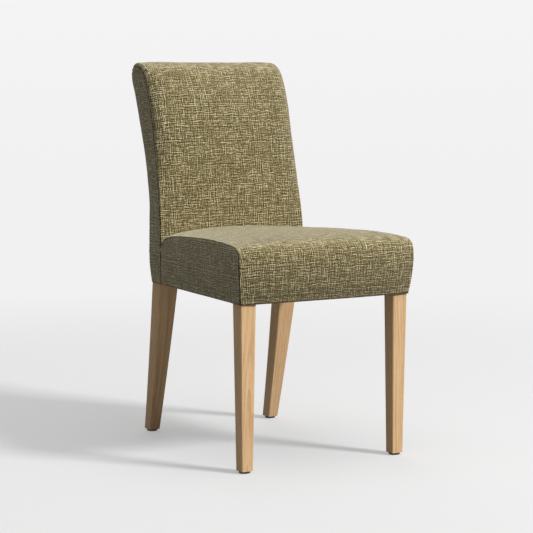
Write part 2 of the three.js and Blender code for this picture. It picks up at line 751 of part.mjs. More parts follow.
function seatFoam() {
  const alongs = [...SEAT_BEND_SHARES, ...SEAT_TOP_SHARES.slice(1)];
  const top = seatTopGrid(alongs, LINING);
  const front = top[0];
  const rear = top[top.length - 1];
  const base = top.map((row, i) => row.map((_, j) => {
    const y = mix(front[j].y, rear[j].y, i / (top.length - 1));
    return vec(ACROSS_SHARES[j] * (seatHalfWidth(y, FOAM_BASE) - LINING), y, FOAM_BASE);
  }));
  return sheetSolid(top, base);
}

function seatFrontPad() {
  const y = -FRONT_LEG_WIDTH / 2 - GAP;
  const outer = seatTopGrid(SEAT_PAD_SHARES, LINING);
  const inner = outer.map((row) => row.map((p, j) => (
    vec(ACROSS_SHARES[j] * (seatHalfWidth(y, p.z) - LINING - GAP), y, p.z))));
  return sheetSolid(outer, inner);
}

// Outer face of the legs and rails at a place along the seat.
function frameOuter(y) {
  const start = FRONT_LEG_WIDTH / 2;
  return mix(FRONT_LEG_OUTER, rearOuterAtRail, clampShare((y - start) / (rearAtRail.y - start)));
}

function seatSidePad(side) {
  const places = sharesBetween(-FRONT_LEG_WIDTH / 2, SEAT_BACK_LINE - PAD_MARGIN, SEAT_TOP_ROWS);
  const grid = (xAt) => SEAT_PAD_LEVELS.map((z) => places.map((y) => vec(side * xAt(y, z), y, z)));
  const outer = grid((y, z) => seatHalfWidth(y, z) - LINING - GAP);
  return sheetSolid(outer, grid((y) => frameOuter(y) + GAP));
}

// The foam lies on the posts and straps, and its upper part runs rearwards over the posts.
function backFoam(cutters) {
  const alongs = [...BACK_FACE_SHARES, ...BACK_TOP_SHARES.slice(1, -1)];
  const front = backGrid(alongs, LINING);
  const shelf = POST_TOP_HEIGHT - FOAM_PRESS;
  const crest = shareAtHeight(backOutline, shelf, BACK_LOW_SHARE, BACK_TOP_FRONT_SHARE);
  const end = alongs[alongs.length - 1];
  const rearEnd = backRearAt(shelf).y - 2 * POST_PADDING;
  const rear = alongs.map((along) => {
    const over = clampShare((along - crest) / (end - crest));
    const z = over > 0 ? shelf : backOutline(along, LINING).point.z;
    const y = mix(postFront(z) + FOAM_PRESS, rearEnd, over);
    return ACROSS_SHARES.map((across) => vec(across * (backHalfWidth(y, z) - LINING - GAP), y, z));
  });
  return trimmedBy(sheetSolid(front, rear), cutters);
}

function backRearPad(cutters) {
  const low = shareAtHeight(backOutline, HEM_HEIGHT + BACK_PAD_LIFT, BACK_TOP_REAR_SHARE, 1);
  const alongs = BACK_REAR_SHARES.filter((along) => along < low).slice(1);
  const inner = alongs.map((along) => {
    const inset = postPadding(backOutline(along).point.z) + FOAM_PRESS;
    return ACROSS_SHARES.map((across) => backPoint(across, along, inset));
  });
  const pad = sheetSolid(innerColumns(backGrid(alongs, LINING)), innerColumns(inner));
  return trimmedBy(pad, cutters);
}

function backSidePad(side, cutters) {
  const top = postHeightAt(BACK_RAIL_SHARES.top);
  const heights = sharesBetween(HEM_HEIGHT + BACK_PAD_LIFT, top, SIDE_PAD_ROWS);
  const grid = (xAt) => heights.map((z) => {
    const section = rearLegSection(z);
    const reach = section.depth / 2 - 2 * FOAM_PRESS;
    const places = sharesBetween(section.y - reach, section.y + reach, 2);
    return places.map((y) => vec(side * xAt(y, z, section), y, z));
  });
  const outer = grid((y, z) => backHalfWidth(y, z) - LINING - GAP);
  const inner = grid((y, z, section) => section.x + section.width / 2 - FOAM_PRESS);
  return trimmedBy(sheetSolid(outer, inner), cutters);
}

function dustCover(legs) {
  const top = RAIL_BOTTOM - GAP;
  const ring = (z) => {
    const front = { y: RAIL_SETBACK - FRONT_LEG_WIDTH / 2, half: FRONT_LEG_OUTER - RAIL_SETBACK };
    const rear = { y: rearAtRail.y + RAIL_THICKNESS / 2, half: rearOuterAtRail - RAIL_SETBACK };
    return [
      vec(-front.half, front.y, z), vec(front.half, front.y, z),
      vec(rear.half, rear.y, z), vec(-rear.half, rear.y, z),
    ];
  };
  return trimmedBy(loftSolid([ring(top - DUST_CLOTH), ring(top)]), legs);
}

// The whole chair

const chair = new THREE.Group();

function addPiece(name, solid, finish) {
  const mesh = new THREE.Mesh(geometryOf(solid), finish);
  mesh.name = name;
  chair.add(mesh);
}

function bothSides(make) {
  return Object.values(SIDES).map(make);
}

const legRooms = [
  ...bothSides((side) => frontLegBlank(side, GAP)),
  ...bothSides((side) => rearLegBlank(side, GAP)),
];

const rails = {
  front_rail: levelRail(frontRailY, FRONT_LEG_X, FRONT_LEG_WIDTH / 2, legRooms),
  rear_rail: levelRail(rearAtRail.y, rearAtRail.x, rearAtRail.width / 2, legRooms),
  left_rail: sideRail(SIDES.left, legRooms),
  right_rail: sideRail(SIDES.right, legRooms),
};
for (const [name, share] of Object.entries(BACK_RAIL_SHARES)) {
  rails[`back_rail_${name}`] = backRail(postHeightAt(share), legRooms);
}
const railRooms = Object.values(rails).map((rail) => rail.room);
const backStrapLevels = BACK_STRAP_SHARES.map(postHeightAt);

function addLegs(name, side) {
  const mortises = Object.values(rails).flatMap((rail) => rail.mortises);
  const feet = {
    front: { blank: frontLegBlank(side), x: side * FRONT_LEG_X, y: 0 },
    rear: { blank: rearLegBlank(side), x: side * REAR_FOOT_X, y: REAR_FOOT_Y },
  };
  for (const [end, { blank, x, y }] of Object.entries(feet)) {
    addPiece(`${end}_leg_${name}`, trimmedBy(blank, [...mortises, nailHole(x, y)]), OAK);
    addPiece(`glide_${end}_${name}`, glideSolid(x, y), NYLON);
  }
}

// Adds the corner blocks of one side with their screws, and returns the holes of the screws.
function addCorners(name, side) {
  const corners = {
    front: makeCorner(side, frontRailY, 1),
    rear: makeCorner(side, rearAtRail.y, -1),
  };
  return Object.entries(corners).flatMap(([end, corner]) => {
    const screws = cornerScrews(corner);
    const holes = screws.map((screw) => screwSolid(screw, GAP));
    const block = blockSolid(corner, [...railRooms, ...legRooms, ...holes]);
    addPiece(`corner_block_${end}_${name}`, block, FRAME_WOOD);
    screws.forEach((screw, i) => addPiece(`screw_${end}_${name}_${i + 1}`, screwSolid(screw), STEEL));
    return holes;
  });
}

function addFrame() {
  const holes = Object.entries(SIDES).flatMap(([name, side]) => {
    addLegs(name, side);
    return addCorners(name, side);
  });
  for (const [name, rail] of Object.entries(rails)) addPiece(name, trimmedBy(rail.solid, holes), FRAME_WOOD);
  addPiece('dust_cover', dustCover(legRooms), BLACK_CLOTH);
}

function addWebbing() {
  longStrapX.forEach((_, i) => addPiece(`seat_webbing_long_${i + 1}`, longStrap(i), WEBBING));
  crossStrapY.forEach((_, j) => addPiece(`seat_webbing_cross_${j + 1}`, crossStrap(j), WEBBING));
  backStrapLevels.forEach((z, k) => addPiece(`back_webbing_${k + 1}`, backStrap(z), WEBBING));
}

function addPadding() {
  const strapRooms = backStrapLevels.map((z) => backStrap(z, GAP));
  addPiece('seat_foam', seatFoam(), FOAM);
  addPiece('back_foam', backFoam([...legRooms, ...railRooms, ...strapRooms]), FOAM);
  addPiece('seat_pad_front', seatFrontPad(), WADDING);
  addPiece('back_pad_rear', backRearPad([...legRooms, ...railRooms]), WADDING);
  for (const [name, side] of Object.entries(SIDES)) {
    addPiece(`seat_pad_${name}`, seatSidePad(side), WADDING);
    addPiece(`back_pad_${name}`, backSidePad(side, [...legRooms, ...railRooms]), WADDING);
  }
}

function addCovers() {
  const seatAlongs = [...SEAT_FRONT_SHARES, ...SEAT_TOP_SHARES.slice(1)];
  const backAlongs = [...BACK_FACE_SHARES, ...BACK_TOP_SHARES.slice(1)];
  const covers = {
    seat_cover_top: (inset) => seatTopGrid(seatAlongs, inset),
    back_cover_front: (inset) => backGrid(backAlongs, inset),
    back_cover_rear: (inset) => backGrid(BACK_REAR_SHARES, inset),
  };
  for (const [name, side] of Object.entries(SIDES)) {
    covers[`seat_cover_${name}`] = (inset) => seatSideGrid(side, inset);
    covers[`back_cover_${name}`] = (inset) => backSideGrid(side, inset);
  }
  for (const [name, grid] of Object.entries(covers)) {
    addPiece(name, sheetSolid(grid(0), grid(CLOTH)), COVER_CLOTH);
  }
}

addFrame();
addWebbing();
addPadding();
addCovers();

const bounds = new THREE.Box3().setFromObject(chair);
chair.position.set(-(bounds.min.x + bounds.max.x) / 2, -(bounds.min.y + bounds.max.y) / 2, -bounds.min.z);

export default chair;
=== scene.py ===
from math import cos, pi, radians, sin

import bpy
import numpy as np
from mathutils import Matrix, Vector
from mathutils.bvhtree import BVHTree


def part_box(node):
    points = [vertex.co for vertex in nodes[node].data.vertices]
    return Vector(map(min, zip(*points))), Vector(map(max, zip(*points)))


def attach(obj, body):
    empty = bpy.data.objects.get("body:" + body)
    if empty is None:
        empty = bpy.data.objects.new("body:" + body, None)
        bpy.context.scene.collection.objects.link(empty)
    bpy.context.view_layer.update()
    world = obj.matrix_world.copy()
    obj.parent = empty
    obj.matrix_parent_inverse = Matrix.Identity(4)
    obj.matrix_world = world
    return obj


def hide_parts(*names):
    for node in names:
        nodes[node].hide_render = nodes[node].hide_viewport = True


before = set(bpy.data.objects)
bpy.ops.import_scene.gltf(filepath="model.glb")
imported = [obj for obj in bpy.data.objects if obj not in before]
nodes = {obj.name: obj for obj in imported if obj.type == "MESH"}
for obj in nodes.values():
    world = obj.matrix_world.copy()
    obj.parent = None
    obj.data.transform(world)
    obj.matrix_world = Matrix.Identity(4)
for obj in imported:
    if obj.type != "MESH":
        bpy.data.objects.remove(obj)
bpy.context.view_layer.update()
scene = bpy.context.scene

# Lengths are in millimetres up to the point where a mesh is made. y = 0 is the middle of the front feet.
foot_low, foot_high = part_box("front_leg_left")
SHIFT_Y = (foot_low[1] + foot_high[1]) / 2 * 1000

CHAIR_HEIGHT = 900
HEM_HEIGHT = 374
SEAT_EDGE_RISE = 130
SEAT_FRONT_REACH = 22
SEAT_BACK_LINE = 407
SEAT_DEPTH = SEAT_BACK_LINE + SEAT_FRONT_REACH
SEAT_HALF_FRONT = 219.4
SEAT_HALF_REAR = 197.5
SEAT_SWELL = 8
SEAT_CROWN = 5.5
SEAT_BOW = 4
SEAT_ROLL = 3
BACK_FACE_LINE = 407.6
BACK_RISE = CHAIR_HEIGHT - HEM_HEIGHT
BACK_REACH = 182
BACK_HALF = 198
BACK_ROLL = 25
BACK_CROWN = 7
ROLL_POWER = 14
CROWN_POWER = 2.6
REAR_EDGE_POWER = 2.7
SEAT_FULLEST = 0.7
SEAT_REAR_SWELL = 0.12
SEAT_REAR_MIDDLE = 1.008
SEAT_CORNER = 3.5 / 11

# Side edge of the seat: share of its depth, share of its edge height over the hem
SEAT_EDGE_SHARES = [
    [0, 0], [-0.0135, 0.35], [-0.0186, 0.68], [-0.0105, 0.84], [0.018, 0.935], [0.09, 0.975],
    [0.28, 1], [0.52, 0.985], [0.78, 0.935], [0.89, 0.88], [0.96, 0.8], [1, 0.66],
]
# Outline of the back: shares of its reach, height over the hem, half width, edge roll and crown
BACK_SHARES = [
    [0, 0, 0.9975, 0, 0], [0.001, 0.12, 1, 0, 0], [0.002, 0.24, 0.995, 0.1, 0],
    [0.03, 0.335, 0.984, 0.2, 0.4], [0.065, 0.43, 0.969, 0.42, 0.8], [0.143, 0.62, 0.955, 0.8, 1],
    [0.262, 0.81, 0.9475, 1, 0.9], [0.46, 0.958, 0.9445, 1, 0.4], [0.62, 0.994, 0.9425, 0.75, -0.1],
    [0.78, 1, 0.941, 0.5, -0.28], [0.92, 0.988, 0.9395, 0.3, -0.1], [0.985, 0.955, 0.937, 0.12, 0],
    [0.995, 0.92, 0.936, 0.12, 0.1], [0.9, 0.845, 0.936, 0.12, 0.3], [0.795, 0.753, 0.9375, 0.12, 0.4],
    [0.586, 0.563, 0.9445, 0.12, 0.4], [0.44, 0.373, 0.96, 0.12, 0.4], [0.405, 0.2, 0.979, 0.12, 0.3],
    [0.383, 0.0875, 0.983, 0.04, 0.1], [0.328, 0, 0.976, 0.02, 0],
]
BACK_TOP_FRONT = 8 / 19
BACK_TOP_REAR = 11 / 19

# Cloth: its thickness, and the spacing of its grid, closer beside a seam
CLOTH = 0.9
GRID = 4.0
EDGE_STEPS = np.array([0, 0.6, 1.2, 1.9, 2.7, 3.7, 4.9, 6.4, 8.3, 10.7])
SEAT_STRIP_HALF = 224
BACK_STRIP_HALF = 212
BACK_SIDE_DEPTH = 75.0
# Seams: a groove, a ridge beside it, puckers that differ on the two sides, the width that the seam holds still and
# the share of hold that pins a point, and the turned-in allowance
GROOVE_DEPTH = 1.7
GROOVE_WIDTH = 1.7
RIDGE_PLACE = 5.2
RIDGE_WIDTH = 2.6
STRIP_RIDGE = 0.75
REAR_RIDGE = 0.5
SIDE_RIDGE = 0.25
JOINT_RIDGE = 0.3
PUCKER = 0.45
PUCKER_REACH = 9
PUCKER_LENGTHS = 8.5, 4.2
PUCKER_SHIFT = 700
HELD = 5.5
PINNED = 0.2
FAR = 99.0
FLANGE = [2.6, 6.0]
FLANGE_APART = 0.6
SEAT_TUCKED_IN = [2, 5, 10, 16]
# Hem: a round turn and a flat part under the frame, both smaller over a leg. Its painted shade comes from a distance
# from a seam.
HEM_RADIUS = 2.2
HEM_TURN = 12.0
HEM_ANGLES = 25, 50, 72, 90
HEM_SHARES = 0.3, 0.65, 1.0
HEM_RISE = 0.5
HEM_SHADE = 0.8
HEM_UNDER_SHADE = 1.2
LEG_RADIUS = 1.1
LEG_TURN = 0.2
LEG_NEAR = 5
LEG_FADE = 6
# Unevenness and swell between the seams
UNEVENNESS = 0.55
UNEVEN_LENGTHS = 58, 23
SWELL = 1.7
START_IN = 0.6
SOFT_CUT = 0.8
PRESSURE = 4.0
SWELL_FRAMES = 20
# Top corners of the back, filled from nothing at one height to the full at another, and a tuck at one of them
CORNER_FILL = 3.0
CORNER_PLACE = 10.0
CORNER_WIDTH = 6.0
CORNER_LOW = 700
CORNER_HIGH = 860
TUCK_HEIGHT = 878
TUCK_PLACE = 13.0
TUCK_REACH = 8.0
TUCK_WIDTH = 3.2
TUCK_DEPTH = 3.2
# Heights where the front cloth of the back starts, and where the seat's side ends against the back
BACK_FRONT_LOW = 440
SEAT_JOINS_BACK = 470


def assign(thing, **settings):
    for key, value in settings.items():
        setattr(thing, key, value)
    return thing


def mix(a, b, share):
    return a + (b - a) * share


def smooth(value):
    share = np.clip(value, 0, 1)
    return share * share * (3 - 2 * share)


def hump(off, width):
    """1 in the middle, falling to 0 on both sides."""
    return np.exp(-((off / width) ** 2))


def stack(*parts):
    return np.stack(parts, axis=-1)


def read(table, run, places):
    """Rows of a table, one for each number in run, read at other places in between."""
    return stack(*(np.interp(places, run, column) for column in table.T))


def unit(vectors):
    return vectors / np.maximum(np.linalg.norm(vectors, axis=-1, keepdims=True), 1e-12)


def grid_noise(u, v, cell, seed):
    """Smooth noise from -1 to 1 over a plane, with bumps about one cell across."""
    table = np.random.RandomState(seed).uniform(-1, 1, (97, 97))
    x, y = np.asarray(u) / cell + 200.5, np.asarray(v) / cell + 200.5
    i, j = np.floor(x).astype(int), np.floor(y).astype(int)
    a, b = smooth(x - i), smooth(y - j)
    at = lambda p, q: table[p % 97, q % 97]
    return mix(mix(at(i, j), at(i + 1, j), a), mix(at(i, j + 1), at(i + 1, j + 1), a), b)


class Outline:
    """A smooth line in the side view through rows of y, z and what goes with them."""

    def __init__(self, rows):
        rows = np.array(rows, float)
        self.spans = len(rows) - 1
        self.rows = np.vstack([2 * rows[0] - rows[1], rows, 2 * rows[-1] - rows[-2]])

    def at(self, share):
        """Points, inward directions and extras at shares of the spans."""
        place = np.clip(np.asarray(share, float), 0, 1) * self.spans
        k = np.minimum(np.floor(place).astype(int), self.spans - 1)
        w = (place - k)[..., None]
        rows = [self.rows[k + n] for n in range(4)]
        p0, p1, p2, p3 = (row[..., :2] for row in rows)
        d0, d1, d2 = (np.linalg.norm(b - a, axis=-1, keepdims=True) ** 0.5 for a, b in ((p0, p1), (p1, p2), (p2, p3)))
        t1 = ((p1 - p0) / d0 - (p2 - p0) / (d0 + d1) + (p2 - p1) / d1) * d1
        t2 = ((p2 - p1) / d1 - (p3 - p1) / (d1 + d2) + (p3 - p2) / d2) * d1
        c2, c3 = 3 * (p2 - p1) - 2 * t1 - t2, 2 * (p1 - p2) + t1 + t2
        point = p1 + t1 * w + c2 * w**2 + c3 * w**3
        along = unit(t1 + 2 * c2 * w + 3 * c3 * w**2)
        inward = stack(along[..., 1], -along[..., 0])
        e0, e1, e2, e3 = (row[..., 2:] for row in rows)
        m1, m2 = (e2 - e0) / 2, (e3 - e1) / 2
        extra = e1 + m1 * w + (3 * (e2 - e1) - 2 * m1 - m2) * w**2 + (2 * (e1 - e2) + m1 + m2) * w**3
        return point, inward, extra


seat_outline = Outline([
    [depth * SEAT_DEPTH - SEAT_FRONT_REACH, HEM_HEIGHT + rise * SEAT_EDGE_RISE] for depth, rise in SEAT_EDGE_SHARES
])
back_outline = Outline([
    [BACK_FACE_LINE + reach * BACK_REACH, HEM_HEIGHT + rise * BACK_RISE, half * BACK_HALF, edge * BACK_ROLL,
     crown * BACK_CROWN]
    for reach, rise, half, edge, crown in BACK_SHARES
])


def share_at_height(outline, z, start, end):
    shares = np.linspace(start, end, 4001)
    return shares[np.argmin(np.abs(outline.at(shares)[0][:, 1] - z))]


def seat_fullness(z):
    return 1 - (1 - np.clip((z - HEM_HEIGHT) / (SEAT_EDGE_RISE * SEAT_FULLEST), 0, 1)) ** 2


def seat_half_width(y, z):
    share = np.clip((y + SEAT_FRONT_REACH) / SEAT_DEPTH, 0, 1)
    fade = mix(1, SEAT_REAR_SWELL, share)
    return mix(SEAT_HALF_FRONT, SEAT_HALF_REAR, share) + SEAT_SWELL * seat_fullness(z) * fade


def roll(across, power):
    return np.sqrt(np.maximum(1 - np.abs(across) ** power, 0))


def seat_top_point(across, along):
    """Points of the cloth over the seat's front and top. across runs from -1 to 1."""
    across, along = np.broadcast_arrays(across, along)
    point, inward, _ = seat_outline.at(along)
    y, z = point[..., 0], point[..., 1]
    full = seat_fullness(z)
    crown = mix(SEAT_BOW, SEAT_CROWN, full) * (1 - np.abs(across) ** CROWN_POWER)
    lift = crown + SEAT_ROLL * full * roll(across, ROLL_POWER)
    middle = HEM_HEIGHT + SEAT_REAR_MIDDLE * SEAT_EDGE_RISE
    rise = np.maximum(middle - z, 0) * roll(across, REAR_EDGE_POWER)
    rising = inward[..., 0] >= 0
    ahead = np.where(rising, -lift * inward[..., 0], 0)
    upwards = np.where(rising, -lift * inward[..., 1], np.maximum(lift, rise))
    return stack(across * seat_half_width(y, z), y + ahead, z + upwards)


def back_point(across, along):
    """Points of the cloth over the back's front, top or rear."""
    across, along = np.broadcast_arrays(across, along)
    point, inward, extra = back_outline.at(along)
    half, edge, crown = (extra[..., k] for k in range(3))
    sink = edge * (1 - roll(across, ROLL_POWER)) - crown * (1 - across**2)
    place = point + inward * sink[..., None]
    return stack(across * half, place[..., 0], place[..., 1])


def seat_seam(share):
    point = seat_outline.at(share)[0]
    return stack(seat_half_width(point[..., 0], point[..., 1]), point[..., 0], point[..., 1])


def back_seam(share):
    point, inward, extra = back_outline.at(share)
    place = point + inward * extra[..., 1:2]
    return stack(extra[..., 0], place[..., 0], place[..., 1])


# Cloth panels. A panel is a grid of points with its flat coordinates, and knows how far each point is from its seams.

def stations(length, start=True, end=True):
    """Distances along a stretch, closer together next to a seam."""
    head = EDGE_STEPS if start else EDGE_STEPS[:1]
    tail = length - (EDGE_STEPS[::-1] if end else EDGE_STEPS[:1])
    count = max(int(round((tail[0] - head[-1]) / GRID)), 1)
    return np.concatenate([head[:-1], np.linspace(head[-1], tail[0], count + 1), tail[1:]])


def take(grid, place, axis):
    """One row or column of a grid, kept as a grid."""
    return np.take(grid, [place], axis=axis)


def travelled(points, axis=0):
    """Distance from the first point to each one along a line of points."""
    steps = np.linalg.norm(np.diff(points, axis=axis), axis=-1)
    return np.concatenate([0 * take(steps, 0, axis), np.cumsum(steps, axis=axis)], axis=axis)


def grid_normals(points, outside):
    """Unit normals of a grid, turned towards the side that outside points at."""
    normals = unit(np.cross(np.gradient(points, axis=1), np.gradient(points, axis=0)))
    return normals * np.sign((normals * outside).sum(-1).mean())


class Panel:
    """A grid of points with flat coordinates and normals, and the lift that is gathered for each point."""

    def __init__(self, points, flat, outside):
        shape = points.shape[:2]
        self.points, self.flat, self.normals = points, flat, grid_normals(points, outside)
        self.lift, self.pull, self.lean = np.zeros(shape), np.zeros(shape), np.zeros(points.shape)
        self.seam = np.full(shape, FAR)

    def add_seam(self, distance, run, direction, ridge, seed):
        """Sinks the cloth into a seam, swells it beside it, and puckers it."""
        self.lift += ridge * hump(distance - RIDGE_PLACE, RIDGE_WIDTH) - GROOVE_DEPTH * hump(distance, GROOVE_WIDTH)
        long, short = PUCKER_LENGTHS
        puckers = grid_noise(run, distance / 4, long, seed) + 0.5 * grid_noise(run, distance / 5, short, seed + 1)
        self.lift += PUCKER * np.exp(-distance / PUCKER_REACH) * smooth(distance / 3) * puckers
        near = 1 - smooth(distance / HELD)
        self.lean += direction * near[..., None]
        self.pull = np.maximum(self.pull, near)
        self.seam = np.minimum(self.seam, distance)

    def swell(self, seed):
        """Swells the cloth between its seams, makes it uneven, and moves every point by its lift."""
        simulate(self)
        u, v = self.flat[..., 0], self.flat[..., 1]
        long, short = UNEVEN_LENGTHS
        uneven = 0.7 * grid_noise(u, v, long, seed) + 0.3 * grid_noise(u, v, short, seed + 1)
        self.lift += UNEVENNESS * (1 - self.pull) * uneven
        heading = unit(self.normals * (1 - self.pull[..., None]) + self.lean)
        self.points = self.points + heading * self.lift[..., None]

    def grid(self):
        """Points, flat coordinates with the distance from a seam as a third number, and normals."""
        return [self.points, np.dstack([self.flat, self.seam]), self.normals]


def outwards(points, normals):
    """Above 0 where the faces of the grid, taken in order, look along its normals."""
    across, upwards = points[:-1, 1:] - points[:-1, :-1], points[1:, :-1] - points[:-1, :-1]
    return (np.cross(across, upwards) * normals[:-1, :-1]).sum()


def simulate(panel):
    """Cloth simulation of a panel, pinned along its seams and its hem, that swells it between them.
    It starts from a form drawn in by START_IN. No point moves further than SWELL, and the padding lets none in."""
    rows, columns = panel.points.shape[:2]
    some_rows, some_columns = (
        np.unique(np.linspace(0, n - 1, max(n // 2, 14)).round().astype(int)) for n in (rows, columns))
    picked = np.ix_(some_rows, some_columns)
    points, normals = panel.points[picked] / 1000, panel.normals[picked]
    piece = grid_object("simulated", points, {})
    pins = panel.pull[picked] > PINNED
    pins[[0, -1]] = pins[:, [0, -1]] = True
    piece.vertex_groups.new(name="pins").add(np.flatnonzero(pins.ravel()).tolist(), 1.0, "REPLACE")
    cloth = piece.modifiers.new("cloth", "CLOTH")
    assign(cloth.settings, quality=6, mass=0.3, tension_stiffness=18, compression_stiffness=18, bending_stiffness=0.4,
           vertex_group_mass="pins", use_pressure=True,
           uniform_pressure_force=PRESSURE * np.sign(outwards(points, normals)))
    cloth.settings.effector_weights.gravity = 0
    cloth.collision_settings.use_collision = False
    for frame_number in range(1, SWELL_FRAMES + 1):
        scene.frame_set(frame_number)
    settled = evaluated(piece).to_mesh()
    places = np.array([v.co[:] for v in settled.vertices]).reshape(points.shape)
    moved = ((places - points) * normals).sum(-1) * 1000
    bpy.data.objects.remove(piece)
    scene.frame_set(1)
    moved = (moved + np.hypot(moved, SOFT_CUT)) / 2
    moved = SWELL * np.tanh(moved / SWELL)
    moved = read(moved, some_rows, np.arange(rows))
    moved = read(moved.T, some_columns, np.arange(columns)).T
    panel.lift += (moved - START_IN) * (1 - panel.pull)


def add_object(name, data):
    piece = bpy.data.objects.new(name, data)
    scene.collection.objects.link(piece)
    return piece


def area_of(piece):
    return float(sum(face.area for face in piece.data.polygons))


def evaluated(piece):
    return piece.evaluated_get(bpy.context.evaluated_depsgraph_get())


def mesh_object(name, points, faces):
    mesh = bpy.data.meshes.new(name)
    mesh.from_pydata(points, [], faces)
    mesh.shade_smooth()
    return add_object(name, mesh)


def thicken(piece, thickness, offset):
    assign(piece.modifiers.new("thickness", "SOLIDIFY"), thickness=thickness, offset=offset)


def between(rings):
    """Faces between rings of point numbers."""
    return [[a[t - 1], a[t], b[t], b[t - 1]] for a, b in zip(rings, rings[1:]) for t in range(len(a))]


def grid_object(name, points, layers, turned=False):
    """A grid of points in metres as a smooth mesh, with its UV maps. turned faces it the other way."""
    rows, columns = points.shape[:2]
    number = np.arange(rows * columns).reshape(rows, columns)
    faces = stack(number[:-1, :-1], number[:-1, 1:], number[1:, 1:], number[1:, :-1]).reshape(-1, 4)
    if turned:
        faces = faces[:, ::-1]
    piece = mesh_object(name, points.reshape(-1, 3).tolist(), faces.tolist())
    for layer, places in layers.items():
        places = places.reshape(-1, 2)[faces.reshape(-1)].astype(np.float32)
        piece.data.uv_layers.new(name=layer).data.foreach_set("uv", places.ravel())
    return piece


def corner(border, share):
    return border(np.array([share]))[0]


def bordered(bottom, top, front, rear, u, v):
    """Points inside four borders, each a function of a share of its way."""
    across, along = u[None, :, None], v[:, None, None]
    low, high = (mix(corner(border, 0.0), corner(border, 1.0), across) for border in (bottom, top))
    upwards = mix(bottom(u)[None], top(u)[None], along)
    rearwards = mix(front(v)[:, None], rear(v)[:, None], across)
    return upwards + rearwards - mix(low, high, along)


def even(curve, start, end):
    """The same curve, read at shares of its own length."""
    fine = np.linspace(start, end, 1201)
    run = travelled(curve(fine))
    return (lambda share: curve(np.interp(share * run[-1], run, fine))), run[-1]


def line(a, b):
    return lambda share: mix(a, b, share[:, None])


def distance_to(points, path):
    """Distance of each grid point from a path, and how far along the path the nearest place is."""
    run = travelled(path)
    best, place = np.full(points.shape[:2], np.inf), np.zeros(points.shape[:2])
    for a, b, start, end in zip(path, path[1:], run, run[1:]):
        span = b - a
        t = np.clip(((points - a) @ span) / max(span @ span, 1e-12), 0, 1)
        off = np.linalg.norm(points - a - t[..., None] * span, axis=-1)
        closer = off < best
        best[closer], place[closer] = off[closer], mix(start, end, t[closer])
    return best, place


def extend(grid, steps, direction, away, axis, at_end):
    """Adds rows or columns past an edge of a grid of points, going along a direction."""
    edge, before = (-1, -2) if at_end else (0, 1)
    point, flat, normal = (take(part, edge, axis) for part in grid)
    heading = unit((flat - take(grid[1], before, axis)) * [1, 1, 0])
    added = [(point - direction * s + away * FLANGE_APART * min(s, 1), flat + heading * s, normal) for s in steps]
    grown = []
    for old, *new in zip(grid, *added):
        grown.append(np.concatenate([old, *new] if at_end else [*new[::-1], old], axis=axis))
    return grown


def seam_flange(grid, direction, axis, at_end):
    """Turns a seam's allowance in, a little apart from the one that it is sewn to."""
    edge, inner = (-1, -6) if at_end else (0, 5)
    away = unit(take(grid[0], inner, axis) - take(grid[0], edge, axis))
    return extend(grid, FLANGE, direction, away, axis, at_end)


def widened(leans):
    """Directions along an edge, repeated over the allowances at both its ends."""
    return np.pad(leans, ((0, 0), (len(FLANGE), len(FLANGE)), (0, 0)), mode="edge")


def solid_points(name):
    """Corners of a solid in millimetres, y from the middle of the part."""
    return np.array([v.co[:] for v in nodes[name].data.vertices]) * 1000


# The oak legs, each with the place of its pith beside its foot
PITHS = {
    "front_leg_left": (75, 210), "front_leg_right": (-70, 190),
    "rear_leg_left": (60, 200), "rear_leg_right": (-85, 190),
}


def ring(corners, z, off):
    """Lowest and highest coordinates of the corners close to a height."""
    near = corners[np.abs(corners[:, 2] - z) < off]
    return np.array([near.min(0), near.max(0)])


leg_sections = [ring(solid_points(name) - [0, SHIFT_Y, 0], HEM_HEIGHT, 0.5)[:, :2] for name in PITHS]


def near_leg(points):
    """1 where the hem passes over a leg, 0 elsewhere."""
    plan = points[..., :2]
    gaps = [np.maximum(np.maximum(low - plan, plan - high), 0) for low, high in leg_sections]
    off = np.linalg.norm(gaps, axis=-1).min(0)
    return 1 - smooth((off - LEG_NEAR) / LEG_FADE)


def hem(grid):
    """Turns the lower edge, which is the first row, under the seat frame."""
    points, flat, normals = grid
    low, level = points[0], unit(normals[0] * [1, 1, 0])
    # Rows near the hem and the turned rows count as close to a seam, which gives the hem a painted shade
    shade = np.minimum(flat[..., 2], points[..., 2] - low[:, 2] + HEM_SHADE)
    flat = np.dstack([flat[..., :2], shade])
    leg = near_leg(low)[:, None]
    reach, turn = mix(HEM_RADIUS, LEG_RADIUS, leg), mix(HEM_TURN, LEG_TURN, leg)
    down = np.array([0, 0, -1.0])
    rows, runs = [], []
    for angle in map(radians, HEM_ANGLES):
        rows.append(low - level * reach * (1 - cos(angle)) + down * HEM_RADIUS * sin(angle))
        runs.append(HEM_RADIUS * angle)
    for share in HEM_SHARES:
        rows.append(low - level * (reach + turn * share) + down * (HEM_RADIUS - HEM_RISE * share))
        runs.append(HEM_RADIUS * pi / 2 + HEM_TURN * share)
    new_flat = [np.minimum(flat[0] - [0, run, 0], [np.inf, np.inf, HEM_UNDER_SHADE]) for run in runs]
    before = lambda new, old: np.concatenate([np.array(new[::-1]), old])
    return [before(rows, points), before(new_flat, flat), before([normals[0]] * len(rows), normals)]


def cloth_object(name, grid, shift):
    """A sheet of cloth from a grid of points in millimetres, and its flat size in metres."""
    points, flat, normals = grid
    seam, flat = flat[..., 2] / 1000, flat[..., :2] / 1000
    layers = {"flat": flat + shift, "seams": stack(seam, 0 * seam)}
    piece = grid_object(name, (points + [0, SHIFT_Y, 0]) / 1000, layers, outwards(points, normals) < 0)
    thicken(piece, CLOTH / 1000, -1)
    return piece, np.ptp(flat.reshape(-1, 2), axis=0)


# The panels of the seat and the back

